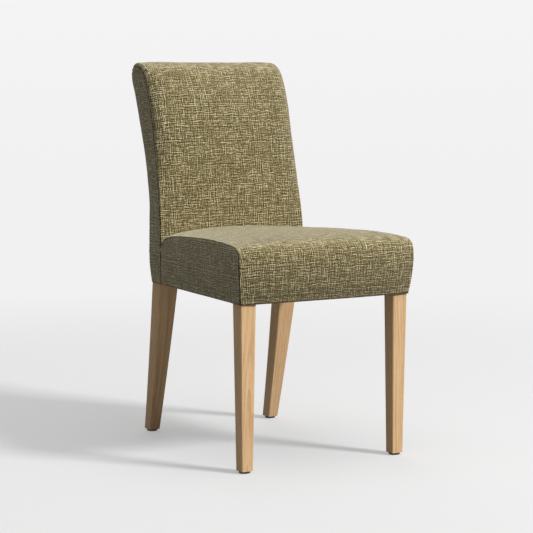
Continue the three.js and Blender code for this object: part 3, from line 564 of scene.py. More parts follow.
X = np.array([1.0, 0, 0])
SEAT_MIDDLE = np.array([0, 190.0, 400.0])
BACK_MIDDLE = np.array([0, 470.0, 620.0])
HEM_TOP = HEM_HEIGHT + HEM_RADIUS
BACK_FRONT_START = share_at_height(back_outline, BACK_FRONT_LOW, 0, BACK_TOP_FRONT)
SEAT_START = share_at_height(seat_outline, HEM_TOP, 0, SEAT_CORNER)
BACK_START = share_at_height(back_outline, HEM_TOP, 0, 0.2)
BACK_END = share_at_height(back_outline, HEM_TOP, BACK_TOP_REAR, 1)


class Strip:
    """A panel between the two side seams of the seat or the back, with a seam at its end."""

    def __init__(self, point, start, end, half, middle, ridge, seed):
        """point gives the cloth at shares of the way across and along. half is about half the width."""
        fine = np.linspace(start, end, 3001)
        run = travelled(point(0.0, fine))
        rows = stations(run[-1], False)
        along = np.interp(rows, run, fine)
        columns = (half - stations(half, True, False)[::-1]) / half
        across = np.sin(np.linspace(0, pi / 2, 500))
        halves = travelled(point(across[None, :], along[:, None]), axis=1)
        placed = np.stack([np.interp(columns * h[-1], h, across) for h in halves])
        points = point(np.hstack([-placed[:, :0:-1], placed]), along[:, None])
        widths = halves[:, -1:] * np.concatenate([-columns[:0:-1], columns])
        self.panel = Panel(points, stack(*np.broadcast_arrays(widths, rows[:, None])), points - middle)
        self.rows, self.along, self.halves = rows, along, halves[:, -1]
        self.aside = {}
        for side, normals in ((-1, self.panel.normals[:, 9]), (1, self.panel.normals[:, -10])):
            self.aside[side] = unit(normals * [0.25, 1, 1] + side * X)
            run = rows[:, None] + PUCKER_SHIFT * side
            self.panel.add_seam(self.from_seam(side), run, self.aside[side][:, None], ridge, seed + side)

    def from_seam(self, side):
        return np.maximum(self.halves[:, None] - side * self.panel.flat[..., 0], 0)

    def fill_corners(self):
        """Swells the cloth beside the side seams, more towards the top."""
        distance = np.minimum(self.from_seam(-1), self.from_seam(1))
        high = smooth((self.panel.points[..., 2] - CORNER_LOW) / (CORNER_HIGH - CORNER_LOW))
        self.panel.lift += CORNER_FILL * high * hump(distance - CORNER_PLACE, CORNER_WIDTH)

    def add_tuck(self, side, level):
        """A short fold that runs in from a side seam, at a level on the way up."""
        panel = self.panel
        heights = panel.points[:, side * 10, 2]
        place = self.rows[np.argmin(np.abs(heights[:heights.argmax() + 1] - level))]
        off = (self.rows - place)[:, None]
        below = off + 2 * TUCK_WIDTH
        reach = hump(self.from_seam(side) - TUCK_PLACE, TUCK_REACH)
        panel.lift += TUCK_DEPTH * reach * (hump(off, TUCK_WIDTH) - hump(below, TUCK_WIDTH))
        # The fold counts as close to a seam, which gives its crease a painted shade
        panel.seam = np.minimum(panel.seam, np.abs(below) * 0.35 + 6 * (1 - reach))

    def grid_with_flanges(self):
        grid = seam_flange(self.panel.grid(), self.aside[-1][:, None], 1, False)
        return seam_flange(grid, self.aside[1][:, None], 1, True)


seat_top = Strip(seat_top_point, SEAT_START, 1, SEAT_STRIP_HALF, SEAT_MIDDLE, STRIP_RIDGE, 11)
back_front = Strip(back_point, BACK_FRONT_START, BACK_TOP_REAR, BACK_STRIP_HALF, BACK_MIDDLE, STRIP_RIDGE, 23)
back_rear = Strip(back_point, BACK_END, BACK_TOP_REAR, BACK_STRIP_HALF, BACK_MIDDLE, REAR_RIDGE, 37)

top_aside = unit(back_front.panel.normals[-9] + back_rear.panel.normals[-9])
for strip, seed in ((back_front, 51), (back_rear, 57)):
    distance = (strip.rows[-1] - strip.rows)[:, None]
    strip.panel.add_seam(distance, strip.panel.flat[..., 0], top_aside[None], REAR_RIDGE, seed)
back_front.fill_corners()
back_front.add_tuck(-1, TUCK_HEIGHT)


def sew_to(panel, path, directions, ridge, seed):
    distance, place = distance_to(panel.points, path)
    direction = unit(read(directions, travelled(path), place))
    panel.add_seam(distance, place, direction, ridge, seed)
    return direction


def sew_edge(panel, side, strip, seam, shares, seed, straight=0):
    """Sews a side panel to the edge of a strip. Before the share called straight it leans straight to the side."""
    order = np.argsort(strip.along)
    directions = unit(read(strip.aside[side][order], strip.along[order], shares))
    directions[shares < straight] = side * X
    return sew_to(panel, seam(shares) * (side, 1, 1), directions, SIDE_RIDGE, seed + side)


def finish_side(panel, by_front, by_rear, seed):
    """Swells a side panel, turns its allowances in at the front, the rear and the top, and hems it."""
    panel.swell(seed)
    grid = seam_flange(panel.grid(), by_front[:, :1], 1, False)
    grid = seam_flange(grid, by_rear[:, -1:], 1, True)
    return hem(seam_flange(grid, widened(by_front[-1:]), 0, True))


def seat_side(side):
    curve = lambda share: seat_seam(share)[:, 1:]
    front, height = even(curve, SEAT_START, SEAT_CORNER)
    top, width = even(curve, SEAT_CORNER, 1)
    hem_front, rear_top = corner(curve, SEAT_START), corner(curve, 1.0)
    hem_rear = np.array([rear_top[0], hem_front[1]])
    u, v = stations(width) / width, stations(height, False) / height
    plan = bordered(line(hem_front, hem_rear), top, front, line(hem_rear, rear_top), u, v)
    y, z = plan[..., 0], plan[..., 1]
    points = stack(side * seat_half_width(y, z), y, z)
    panel = Panel(points, plan, side * X)
    by_top = sew_edge(panel, side, seat_top, seat_seam, np.linspace(SEAT_START, 1, 500), 70)
    z_line = np.linspace(hem_rear[1], rear_top[1], 40)
    joint = stack(side * seat_half_width(rear_top[0], z_line), np.full(40, rear_top[0]), z_line)
    sew_to(panel, joint, np.tile(side * X, (40, 1)), JOINT_RIDGE, 80 + side)
    return finish_side(panel, by_top, np.broadcast_to(side * X, points.shape), 90 + side)


def back_side(side):
    front, height = even(back_seam, BACK_START, BACK_TOP_FRONT)
    top, _ = even(back_seam, BACK_TOP_FRONT, BACK_TOP_REAR)
    rear, _ = even(back_seam, BACK_END, BACK_TOP_REAR)
    u, v = stations(BACK_SIDE_DEPTH) / BACK_SIDE_DEPTH, stations(height, False) / height
    bottom = line(corner(back_seam, BACK_START), corner(back_seam, BACK_END))
    points = bordered(bottom, top, front, rear, u, v) * (side, 1, 1)
    depth = travelled(points, axis=1)
    panel = Panel(points, stack(*np.broadcast_arrays(depth, v[:, None] * height)), side * X)
    shares = np.linspace(BACK_START, BACK_TOP_REAR, 700)
    straight = share_at_height(back_outline, SEAT_JOINS_BACK, 0, BACK_TOP_FRONT)
    by_front = sew_edge(panel, side, back_front, back_seam, shares, 110, straight)
    by_rear = sew_edge(panel, side, back_rear, back_seam, np.linspace(BACK_END, BACK_TOP_REAR, 500), 120)
    return finish_side(panel, by_front, by_rear, 130 + side)


for strip, seed in ((seat_top, 140), (back_front, 150), (back_rear, 160)):
    strip.panel.swell(seed)

seat_top_grid = extend(seat_top.grid_with_flanges(), SEAT_TUCKED_IN, unit(np.array([0, 0.15, 1.0])), 0, 0, True)
top_lean = widened(top_aside[None])
panels = {
    "seat_cover_top": hem(seat_top_grid),
    "seat_cover_left": seat_side(-1),
    "seat_cover_right": seat_side(1),
    "back_cover_front": seam_flange(back_front.grid_with_flanges(), top_lean, 0, True),
    "back_cover_rear": hem(seam_flange(back_rear.grid_with_flanges(), top_lean, 0, True)),
    "back_cover_left": back_side(-1),
    "back_cover_right": back_side(1),
}


# Materials. Their nodes read the flat coordinates of the cloth or the object's own coordinates, both in millimetres.

class Finish:
    """A node material with a Principled surface, and short ways to add nodes to it."""

    def __init__(self, name, roughness, metallic=0.0):
        self.material = bpy.data.materials.new(name)
        self.material.use_nodes = True
        self.nodes = self.material.node_tree.nodes
        self.surface({"Roughness": roughness, "Metallic": metallic})

    def set_inputs(self, node, inputs):
        for key, value in inputs.items():
            if isinstance(value, bpy.types.NodeSocket):
                self.material.node_tree.links.new(value, node.inputs[key])
            else:
                node.inputs[key].default_value = value

    def surface(self, inputs):
        """Sets or links inputs of the surface."""
        self.set_inputs(self.nodes["Principled BSDF"], inputs)

    def node(self, kind, inputs, output=0, **settings):
        """Adds a node and returns one of its outputs. An input is a number, a colour or another output."""
        node = assign(self.nodes.new("ShaderNode" + kind), **settings)
        self.set_inputs(node, inputs)
        return node.outputs[output]

    def math(self, operation, *values):
        return self.node("Math", dict(enumerate(values)), operation=operation)

    def add(self, first, *others):
        for other in others:
            first = self.math("ADD", first, other)
        return first

    def times(self, a, b):
        return self.math("MULTIPLY", a, b)

    def linear(self, value, slope, start):
        return self.math("MULTIPLY_ADD", value, slope, start)

    def less(self, value):
        """What is missing up to 1."""
        return self.math("SUBTRACT", 1.0, value)

    def centred(self, value, size):
        """A value from 0 to 1 as one that swings around 0."""
        return self.linear(value, size, -size / 2)

    def length(self, x, y):
        return self.math("SQRT", self.add(self.times(x, x), self.times(y, y)))

    def ramp01(self, value, low, high):
        """0 below low, 1 above high."""
        inputs = {"Value": value, "From Min": low, "From Max": high}
        return self.node("MapRange", inputs, interpolation_type="SMOOTHSTEP")

    def blend(self, share, a, b):
        return self.node("Mix", {0: share, 2: a, 3: b})

    def split(self, vector):
        x = self.node("SeparateXYZ", {0: vector})
        return x, x.node.outputs[1], x.node.outputs[2]

    def join(self, x, y, z=0.0):
        return self.node("CombineXYZ", {0: x, 1: y, 2: z})

    def scaled(self, vector, factor):
        return self.node("VectorMath", {0: vector, 1: factor}, operation="MULTIPLY")

    def noise(self, vector, cells, detail=1.0, roughness=0.5):
        """Noise from 0 to 1 with bumps of so many millimetres: two cells for a plane, three for a solid."""
        place = self.scaled(vector, [1 / cell for cell in (*cells, 1)[:3]])
        inputs = {"Vector": place, "Scale": 1.0, "Detail": detail, "Roughness": roughness}
        return self.node("TexNoise", inputs, "Fac", noise_dimensions=f"{len(cells)}D")

    def random(self, vector):
        return self.node("TexWhiteNoise", {"Vector": vector}, "Value", noise_dimensions="3D")

    def colours(self, value, stops):
        """Colours the surface by a value. Each stop is a place and a screen colour."""
        colour = self.node("ValToRGB", {0: value})
        elements = colour.node.color_ramp.elements
        while len(elements) < len(stops):
            elements.new(0.5)
        for element, (place, *levels) in zip(elements, stops):
            element.position = place
            element.color = (*map(linear_light, levels), 1)
        self.surface({"Base Color": colour})

    def bump(self, height, distance, strength):
        self.surface({"Normal": self.node("Bump", {"Height": height, "Distance": distance, "Strength": strength})})

    def flat_mm(self, layer="flat"):
        return self.scaled(self.node("UVMap", {}, uv_map=layer), (1000, 1000, 0))

    def solid_mm(self):
        return self.scaled(self.node("TexCoord", {}, "Object"), (1000, 1000, 1000))


def linear_light(level):
    share = level / 255
    return share / 12.92 if share <= 0.04045 else ((share + 0.055) / 1.055) ** 2.4


COVER_COLOURS = [
    (0.0, 52, 44, 24), (0.28, 95, 83, 50), (0.5, 139, 126, 86), (0.72, 184, 170, 124), (1.0, 228, 216, 176),
]
OAK_COLOURS = [
    (0.0, 148, 104, 66), (0.3, 204, 160, 112), (0.55, 235, 194, 146), (0.8, 246, 212, 168), (1.0, 250, 222, 184),
]
FRAME_COLOURS = [(0.0, 168, 132, 88), (0.4, 206, 176, 130), (0.7, 222, 196, 152), (1.0, 232, 210, 172)]
WEBBING_COLOURS = [(0.2, 78, 70, 56), (0.5, 120, 110, 90), (0.8, 158, 146, 120)]
NYLON_COLOURS = [(0.3, 22, 22, 23), (0.7, 38, 38, 40)]
STEEL_COLOURS = [(0.3, 150, 152, 155), (0.7, 196, 198, 200)]
FOAM_COLOURS = [(0.35, 205, 196, 160), (0.65, 236, 230, 204)]
FELT_COLOURS = [(0.35, 24, 24, 26), (0.65, 48, 48, 50)]

# Lengths of the cover cloth's pattern
YARN = 2.15
SWAY = 5.0
SWAY_CELLS = 60, 24
RUN_LENGTH = 18
SLUB_LENGTH = 26
# Streaks of painted light on the cloth's upward faces
TOP_PAINTED_LIGHT_CELLS = 22, 6
CLOUD_CELLS = 70, 70
FIBRE_CELLS = (0.35, 2.6), (2.6, 0.35)
FUZZ_CELLS = 1 / 2.1, 1 / 2.1
# Width of a year ring, broad spots of plain finishes, and the webbing's yarn and grain
RING = 3.1
SPOT_CELLS = 24, 24, 24
WEBBING_YARN = 2.4
WEBBING_CELLS = 1.25, 1.25, 1.25


def cover_cloth():
    """A plain weave of slub yarns: each yarn has its own shade, which changes along it, and thick pale stretches."""
    f = Finish("cover_cloth", 0.92)
    place = f.flat_mm()
    x, y, _ = f.split(place)
    sway_x, sway_y = (f.centred(f.noise(p, SWAY_CELLS, 1.5), SWAY) for p in (place, f.join(y, x)))
    x, y = f.add(x, sway_x), f.add(y, sway_y)
    cx, cy = f.times(x, 1 / YARN), f.times(y, 1 / YARN)
    ix, iy = f.math("FLOOR", cx), f.math("FLOOR", cy)
    checks = f.math("FLOORED_MODULO", f.add(ix, iy), 2.0)

    def shade(number, along, seed, contrast):
        """The shade of a yarn: its own, what changes along it, and the pale slubs."""
        def beyond(shade_of):
            """What a yarn has beyond its two neighbours, so that no shade gathers in patches."""
            beside = f.add(shade_of(f.add(number, -1)), shade_of(f.add(number, 1)))
            return f.add(shade_of(number), f.times(beside, -0.5))

        own = beyond(lambda n: f.random(f.join(n, seed)))
        runs = beyond(lambda n: f.noise(f.join(n, along, seed), (1 / 3.17, RUN_LENGTH, 1), 1.0, 0.6))
        slub = f.ramp01(f.noise(f.join(number, along, seed + 3.1), (1 / 2.39, SLUB_LENGTH, 1)), 0.57, 0.68)
        return f.times(f.add(f.times(own, 0.52), f.times(runs, 2.2), f.times(slub, 0.42)), contrast), slub

    warp, warp_slub = shade(ix, y, 1.0, 1.0)
    weft, weft_slub = shade(iy, x, 7.0, 1.2)
    speck = f.centred(f.random(f.join(ix, iy, 4.0)), 0.2)

    # More contrast on the sides, pale streaks of painted light on the top, and painted shade below
    sideways, _, upwards = f.split(f.node("NewGeometry", {}, "Normal"))
    # Painted shade on faces that look down, such as the hem's turn
    under = f.ramp01(f.times(upwards, -1), 0.05, 0.7)
    # Painted light: faces that look up are made paler, in streaks
    top_painted_light = f.times(f.add(f.noise(place, TOP_PAINTED_LIGHT_CELLS, 1.5), -0.4), f.ramp01(upwards, 0.55, 0.9))
    sideways = f.math("ABSOLUTE", sideways)
    warp = f.times(warp, f.linear(sideways, 0.7, 1))
    weft = f.times(weft, f.linear(sideways, 0.25, 1))

    # Painted shade in a seam, and a painted highlight on the ridge beside it
    seam = f.split(f.flat_mm("seams"))[0]
    painted_seam_shade = f.less(f.ramp01(seam, 0.4, 2.8))
    # A painted highlight on the ridge beside a seam
    ridge_highlight = f.times(f.ramp01(seam, 2.2, 3.6), f.less(f.ramp01(seam, 4.4, 7.5)))

    cloud = f.centred(f.noise(place, CLOUD_CELLS, 2.0), 0.08)
    weave = f.blend(f.linear(checks, 0.3, 0.35), weft, warp)
    off_x, off_y = (f.math("ABSOLUTE", f.centred(f.math("FRACT", c), 2.0)) for c in (cx, cy))
    gap = f.math("POWER", f.math("MAXIMUM", off_x, off_y), 5.0)
    fibre_x, fibre_y = (f.noise(place, cells, 2.0) for cells in FIBRE_CELLS)
    fibre = f.centred(f.blend(checks, fibre_y, fibre_x), 0.75)
    # Dark gaps between the yarns, and painted shade in seams, the tuck's crease, along the hem and on faces that look
    # down
    dark = f.add(f.times(gap, -0.22), f.times(f.math("MAXIMUM", painted_seam_shade, under), -0.42))
    f.colours(f.add(weave, 0.41, fibre, speck, cloud, top_painted_light, dark, f.times(ridge_highlight, 0.1)), COVER_COLOURS)

    round_x, round_y = (f.less(f.times(off, off)) for off in (off_x, off_y))
    over = f.times(round_x, f.linear(round_y, 0.5, 0.5))
    below = f.times(round_y, f.linear(round_x, 0.5, 0.5))
    thread = f.blend(checks, below, over)
    thick = f.blend(checks, weft_slub, warp_slub)
    fuzz = f.noise(place, FUZZ_CELLS, 2.0)
    f.bump(f.add(f.times(thread, f.linear(thick, 0.6, 0.7)), f.times(fuzz, 0.35)), 0.00045, 0.8)
    f.surface({
        "Sheen Weight": 0.7, "Sheen Roughness": 0.5, "Sheen Tint": (1.0, 0.93, 0.74, 1), "Specular IOR Level": 0.1,
    })
    return f.material


def oak(name, pith, colours, roughness=0.42, lean=(0.0, 0.0)):
    """Straight grown oak: year rings round a pith outside the piece, fine fibre, and short dark pores along it.
    The grain rises along z and leans by so much for each step up."""
    f = Finish(name, roughness)
    x, y, z = f.split(f.solid_mm())
    x, y = f.add(x, f.times(z, -lean[0])), f.add(y, f.times(z, -lean[1]))
    place = f.join(x, y, z)
    px = f.add(x, -pith[0], f.times(f.noise(place, (90, 90, 260)), 26))
    py = f.add(y, -pith[1], f.times(f.noise(place, (30, 30, 500)), 14))
    ring = f.math("FRACT", f.times(f.length(px, py), 1 / RING))
    late = f.ramp01(ring, 0.35, 0.95)
    fibre = f.noise(place, (0.8, 0.8, 38), 3.0, 0.6)
    streak = f.noise(place, (5, 5, 160), 2.0)
    pore = f.ramp01(f.noise(place, (0.42, 0.42, 9)), 0.62, 0.74)
    pore = f.times(pore, f.linear(late, -0.7, 1.0))
    grain = f.add(f.centred(fibre, 0.5), f.centred(streak, 0.45), f.times(pore, -0.34))
    f.colours(f.add(0.6, f.times(late, -0.16), grain), colours)
    f.bump(f.add(f.times(fibre, 0.25), f.times(pore, -1.0)), 0.00012, 0.7)
    f.surface({"Specular IOR Level": 0.12})
    return f.material


def spotted(name, roughness, colours, cell, distance, metallic=0.0, stretch=(1, 1, 1)):
    """A plain finish with a fine grain: moulded nylon, steel, foam or felt."""
    f = Finish(name, roughness, metallic)
    place = f.solid_mm()
    fine = f.noise(place, [cell / s for s in stretch], 3.0, 0.6)
    broad = f.noise(place, SPOT_CELLS, 2.0)
    f.colours(f.add(f.times(fine, 0.7), f.times(broad, 0.3)), colours)
    f.bump(fine, distance, 0.6)
    return f.material


def webbing():
    """Jute webbing: a weave of two crossing waves with an uneven shade."""
    f = Finish("webbing", 0.9)
    place = f.solid_mm()
    x, y, z = f.split(place)
    wave_x, wave_y = (f.math("SINE", f.times(f.add(a, z), 2 * pi / WEBBING_YARN)) for a in (x, y))
    weave = f.times(wave_x, wave_y)
    grain = f.noise(place, WEBBING_CELLS, 2.0)
    f.colours(f.add(f.linear(weave, 0.2, 0.2), f.times(grain, 0.6)), WEBBING_COLOURS)
    f.bump(weave, 0.0004, 0.8)
    return f.material


cloth_finish = cover_cloth()
frame_finish = oak("frame_wood", (60, -80), FRAME_COLOURS, 0.75)
nylon_finish = spotted("nylon", 0.45, NYLON_COLOURS, 0.8, 0.0001)
steel_finish = spotted("steel", 0.34, STEEL_COLOURS, 0.5, 0.00004, 1.0)
foam_finish = spotted("foam", 0.95, FOAM_COLOURS, 1.3, 0.0006)
webbing_finish = webbing()
felt_finish = spotted("black_cloth", 1.0, FELT_COLOURS, 0.6, 0.0003, 0.0, (1, 0.2, 1))


def dress(piece, finish):
    piece.data.materials.clear()
    piece.data.materials.append(finish)


def enter(piece, finish, slot, *replaced):
    """Gives a piece its finish and its body, and hides the solids that it stands for. Its slot is not used."""
    dress(piece, finish)
    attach(piece, "root")
    if replaced:
        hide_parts(*replaced)


# Cloth of the cover. Each panel reads another place of the cloth's pattern.
for number, (name, grid) in enumerate(panels.items()):
    piece, size = cloth_object(name + "_cloth", grid, (0.83 * number, 1.27 * number))
    enter(piece, cloth_finish, "cover_cloth", name)
    width, height = map(float, size)
    min(area_of(piece), width * height)


# Padding, in metres
PADDING_VOXEL = 0.005
PADDING_SHRINK = 0.002


def soft_form(name, sources):
    """One closed soft form over solids: their volume, remeshed fine, smoothed and drawn in a little."""
    points, faces = [], []
    for source in sources:
        mesh = nodes[source].data
        start = len(points)
        points += [v.co[:] for v in mesh.vertices]
        faces += [[start + k for k in p.vertices] for p in mesh.polygons]
    piece = mesh_object(name, points, faces)
    new = piece.modifiers.new
    assign(new("form", "REMESH"), mode="VOXEL", voxel_size=PADDING_VOXEL, use_smooth_shade=True)
    assign(new("ease", "SMOOTH"), iterations=6, factor=0.5)
    assign(new("fit", "DISPLACE"), mid_level=0, strength=-PADDING_SHRINK)
    bpy.context.view_layer.update()
    ready = bpy.data.meshes.new_from_object(evaluated(piece))
    piece.modifiers.clear()
    piece.data = ready
    return piece


paddings = {
    "seat_padding": ["seat_foam", "seat_pad_front", "seat_pad_left", "seat_pad_right"],
    "back_padding": ["back_foam", "back_pad_rear", "back_pad_left", "back_pad_right"],
}
for name, sources in paddings.items():
    piece = soft_form(name, sources)
    enter(piece, foam_finish, "foam", *sources)


# Straps under the seat and across the back, in metres
STRAP_STEP = 0.006
STRAP_COLUMNS = 11
STRAP_THICKNESS = 0.0015
STRAP_INSIDE = 0.0003
STRAP_EDGE = 0.0002
RAY_START = 0.01


def strap(name, seed):
    """A woven strap in the middle between the two faces of the solid strap, with slightly uneven edges."""
    mesh, (low, high) = nodes[name].data, np.array(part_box(name))
    thin, wide, long = np.argsort(high - low)
    tree = BVHTree.FromPolygons([v.co for v in mesh.vertices], [p.vertices[:] for p in mesh.polygons])
    length, width = high[long] - low[long], high[wide] - low[wide]
    start, end = low + STRAP_INSIDE, high - STRAP_INSIDE
    rows = max(int(length / STRAP_STEP), 2) + 1
    sweep, towards = np.zeros(3), np.eye(3)[thin]
    points, flat = np.zeros((rows, STRAP_COLUMNS, 3)), np.zeros((rows, STRAP_COLUMNS, 2))
    for i, share in enumerate(np.linspace(0, 1, rows)):
        for j, across in enumerate(np.linspace(0, 1, STRAP_COLUMNS)):
            sweep[long], sweep[wide] = mix(start[long], end[long], share), mix(start[wide], end[wide], across)
            sweep[thin] = low[thin] - RAY_START
            first = tree.ray_cast(Vector(sweep), Vector(towards))[0]
            sweep[thin] = high[thin] + RAY_START
            last = tree.ray_cast(Vector(sweep), Vector(-towards))[0]
            sweep[thin] = (first[thin] + last[thin]) / 2 if first and last else points[i, max(j - 1, 0), thin]
            points[i, j] = sweep
            flat[i, j] = (across * width, share * length)
    edge = STRAP_EDGE * np.abs(grid_noise(flat[..., 1] * 1000, 0, 14, seed))
    points[:, 0, wide] += STRAP_INSIDE + edge[:, 0]
    points[:, -1, wide] -= STRAP_INSIDE + edge[:, -1]
    piece = grid_object(name + "_strap", points, {"flat": flat})
    thicken(piece, STRAP_THICKNESS, 0)
    enter(piece, webbing_finish, "webbing", name)


for number, name in enumerate(sorted(n for n in nodes if "webbing" in n)):
    strap(name, 300 + number)


# Cloth under the seat, in millimetres. Its notches are about NOTCH_LONG, give or take NOTCH_OFF.
DUST_THICKNESS = 0.5
DUST_INSIDE = 0.2
DUST_NOTCH = 0.3
NOTCH_LONG = 40
NOTCH_OFF = 20
DUST_STEP = 1.8
DUST_ROWS = 8, 86, 9
DUST_COLUMNS = 84
DUST_BAND = 24
DUST_SAG = 4.0
DUST_SAG_LENGTH = 55
# A step down along its folded edge, puckers beside it, and bumps
FOLD_DEPTH, FOLD_WIDTH = 0.25, 9
PULL_DEPTH, PULL_PLACE, PULL_REACH, PULL_LENGTH = 0.5, 20, 16, 17
BUMP_DEPTH, BUMP_LENGTH = 0.6, 70


def dust_cloth():
    """Cloth under the seat: notched round the legs, with a folded edge, hanging a little in the middle."""
    low, high = np.array(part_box("dust_cover")) * 1000
    corners = solid_points("dust_cover")
    ends = low[1] + NOTCH_LONG, high[1] - NOTCH_LONG
    front, rear = (corners[np.abs(corners[:, 1] - y) < NOTCH_OFF] for y in ends)
    front_y, rear_y = front[:, 1].max(), rear[:, 1].min()
    widest, rear_widest = front[:, 0].max(), rear[:, 0].max()
    front_half, rear_half = (np.abs(end[:, 0]).min() - DUST_NOTCH for end in (front, rear))
    ahead, inside, behind = DUST_ROWS
    rows = [(y, front_half) for y in np.linspace(low[1] + DUST_INSIDE, front_y - DUST_STEP, ahead)]
    for y in np.linspace(front_y, rear_y - DUST_INSIDE, inside):
        rows.append((y, mix(widest, rear_widest, (y - front_y) / (rear_y - front_y)) - DUST_INSIDE))
    rows += [(y, rear_half) for y in np.linspace(rear_y + DUST_STEP, high[1] - DUST_INSIDE, behind)]
    y, half = np.array(rows).T[..., None]
    x = np.linspace(-1, 1, DUST_COLUMNS)[None, :] * half
    y = y + 0 * x
    edge = np.minimum(np.minimum(half - np.abs(x), y - y.min()), y.max() - y)
    inside = np.maximum(edge - DUST_BAND, 0)
    sag = DUST_SAG * (1 - np.exp(-inside / DUST_SAG_LENGTH))
    z = (low[2] + high[2]) / 2 - sag - FOLD_DEPTH * smooth((FOLD_WIDTH - edge) / 2)
    pulled = np.exp(-np.abs(edge - PULL_PLACE) / PULL_REACH) * smooth(edge / 10)
    bumps = BUMP_DEPTH * smooth(inside / 30) * (1 + grid_noise(x, y, BUMP_LENGTH, 402))
    z -= PULL_DEPTH * pulled * (1 + grid_noise(x, y, PULL_LENGTH, 401)) + bumps
    flat = stack(x, y - y.min()) / 1000
    piece = grid_object("dust_cloth", stack(x, y, z) / 1000, {"flat": flat})
    thicken(piece, DUST_THICKNESS / 1000, 0)
    enter(piece, felt_finish, "black_cloth", "dust_cover")


dust_cloth()


# Staples, in millimetres: half the wire's thickness, and the outline of one
WIRE = 0.45
WIRE_SIDES = 6
STAPLE = [(-5.2, 1.6), (-5.0, 0.35), (-4.5, 0.0), (4.5, 0.0), (5.0, 0.35), (5.2, 1.6)]
STAPLE_START = 24
STAPLE_END = 20
STAPLE_STEP = 41.0
STAPLE_DROP = 0.25
HEM_NEAR = 5


def staples():
    """Staples through the turned hem of the cover."""
    points, faces = [], []
    for grid in panels.values():
        row = grid[0][1]
        if abs(row[len(row) // 2, 2] - HEM_HEIGHT) > HEM_NEAR:
            continue
        run = travelled(row)
        for place in np.arange(STAPLE_START, run[-1] - STAPLE_END, STAPLE_STEP):
            middle, ahead = read(row, run, [place, place + 1])
            if near_leg(middle[None])[0] > 0.05:
                continue
            along = unit((ahead - middle) * [1, 1, 0])
            aside, start = np.array([-along[1], along[0], 0.0]), len(points)
            for k, (s, up) in enumerate(STAPLE):
                turned = 0.8 * ((k > 3) - (k < 2))
                bend = unit(np.array([0.5 if turned else 1.0, turned]))
                for angle in np.linspace(0, 2 * pi, WIRE_SIDES, False):
                    upright = np.array([0, 0, bend[0]]) - along * bend[1]
                    across = aside * cos(angle) + upright * sin(angle)
                    points.append(middle + along * s + np.array([0, 0, up - STAPLE_DROP]) + across * WIRE)
            rings = [[start + k * WIRE_SIDES + t for t in range(WIRE_SIDES)] for k in range(len(STAPLE))]
            faces += between(rings) + [rings[0][::-1], rings[-1]]
    points = (np.array(points) + [0, SHIFT_Y, 0]) / 1000
    enter(mesh_object("hem_staples", points.tolist(), faces), steel_finish, "steel")


staples()

# Carried-over solids. The grain of a leg leans as the leg does.
for name, node in nodes.items():
    if name in PITHS:
        corners = solid_points(name)
        foot, high = (ring(corners, z, 1.5).mean(0) for z in (corners[:, 2].min(), HEM_HEIGHT))
        rise = high - foot
        lean = rise[:2] / rise[2]
        dress(node, oak("oak_" + name, foot[:2] - lean * foot[2] + PITHS[name], OAK_COLOURS, lean=lean))
    elif name.startswith("glide"):
        dress(node, nylon_finish)
    elif name.startswith("screw"):
        dress(node, steel_finish)
    elif "rail" in name or "corner_block" in name:
        dress(node, frame_finish)


# Floor, background, lights and camera. The fade and the rise are in millimetres, the other lengths in metres.

FLOOR_BOUNCE = 0.22
FLOOR_SEEN = 0.455
FLOOR_GLOW = 0.322
FLOOR_END = 6.5
WALL_CURVE = 2.5
WALL_HEIGHT = 5.5
BOWL_SIDES = 96
FADE_START = 1100
FADE_END = 3200
BACKGROUND_LOW = 0.88
BACKGROUND_HIGH = 0.91
BACKGROUND_RISE = 1800
# Each light: degrees round from +x, degrees up, distance, size and power
LIGHTS = {
    "key": (-56.5, 38.5, 12.0, 2.2, 1300),
    "overhead": (-60, 84, 7.0, 9.0, 350),
    "rear": (68, 20, 7.0, 5.0, 100),
}
LIGHT_TARGET = 0, 0, 0.45
WORLD_LEVEL = 0.052
CAMERA_PLACE = (-2.076, -3.394 + SHIFT_Y / 1000, 0.880)
CAMERA_TURN = -29.68
CAMERA_TILT = 6.24
FOCAL_PIXELS = 1798.5
PICTURE_PIXELS = 533
SENSOR = 36


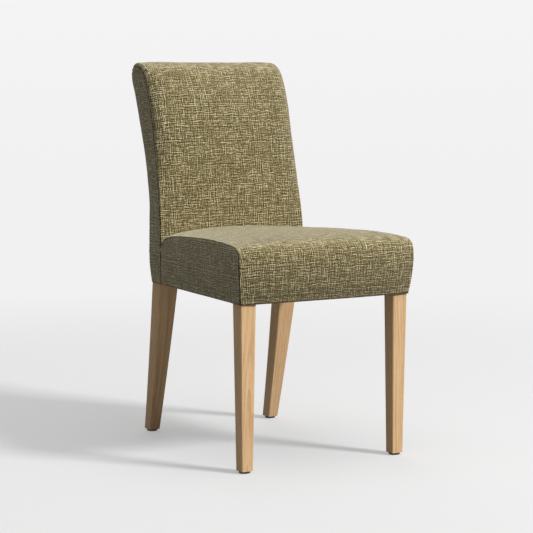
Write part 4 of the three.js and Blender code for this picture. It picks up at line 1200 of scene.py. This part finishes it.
def studio_bowl():
    """A flat floor that rises all round into a curved wall, far behind the object and the camera."""
    profile = [(1.5, 0.0), (3.0, 0.0), (FLOOR_END, 0.0)]
    for angle in np.linspace(0.1, pi / 2, 14):
        profile.append((FLOOR_END + WALL_CURVE * sin(angle), WALL_CURVE * (1 - cos(angle))))
    profile.append((FLOOR_END + WALL_CURVE, WALL_HEIGHT))
    turns = np.linspace(0, 2 * pi, BOWL_SIDES, False)
    points = [(0.0, 0.0, 0.0)]
    for radius, height in profile:
        points += [(radius * cos(t), radius * sin(t), height) for t in turns]
    rings = [[1 + k * BOWL_SIDES + t for t in range(BOWL_SIDES)] for k in range(len(profile))]
    faces = [[0, rings[0][t - 1], rings[0][t]] for t in range(BOWL_SIDES)] + between(rings[::-1])
    bowl = mesh_object("studio", points, faces)
    f = Finish("studio", 1.0)
    x, y, z = f.split(f.solid_mm())
    far = f.ramp01(f.length(x, y), FADE_START, FADE_END)
    seen = f.math("MAXIMUM", *(f.node("LightPath", {}, f"Is {kind} Ray") for kind in ("Camera", "Glossy")))
    albedo = f.blend(seen, FLOOR_BOUNCE, FLOOR_SEEN)
    f.surface({"Base Color": f.join(albedo, albedo, albedo), "Specular IOR Level": 0.0})
    level = f.blend(f.ramp01(z, 0, BACKGROUND_RISE), BACKGROUND_LOW, BACKGROUND_HIGH)
    glow = f.node("Emission", {"Strength": f.times(f.blend(far, FLOOR_GLOW, level), seen)})
    matt = f.node("MixShader", {0: f.times(far, seen), 1: f.nodes["Principled BSDF"].outputs[0]})
    f.set_inputs(f.nodes["Material Output"], {"Surface": f.node("AddShader", {0: matt, 1: glow})})
    dress(bowl, f.material)


studio_bowl()
for name, (azimuth, elevation, distance, size, power) in LIGHTS.items():
    lamp = add_object(name, assign(bpy.data.lights.new(name, "AREA"), shape="SQUARE", size=size, energy=power))
    a, e = radians(azimuth), radians(elevation)
    away = np.array([cos(e) * cos(a), cos(e) * sin(a), sin(e)])
    lamp.location = LIGHT_TARGET + away * distance
    lamp.rotation_euler = (pi / 2 - e, 0, a + pi / 2)

world = scene.world = bpy.data.worlds.new("studio_air")
world.use_nodes = True
air = world.node_tree.nodes["Background"].inputs
air["Color"].default_value = (1, 1, 1, 1)
air["Strength"].default_value = WORLD_LEVEL

camera = add_object("camera", bpy.data.cameras.new("camera"))
assign(camera.data, sensor_width=SENSOR, lens=FOCAL_PIXELS * SENSOR / PICTURE_PIXELS)
camera.location = CAMERA_PLACE
camera.rotation_euler = (radians(90 - CAMERA_TILT), 0, radians(CAMERA_TURN))
scene.camera = camera
scene.view_settings.view_transform = "Standard"
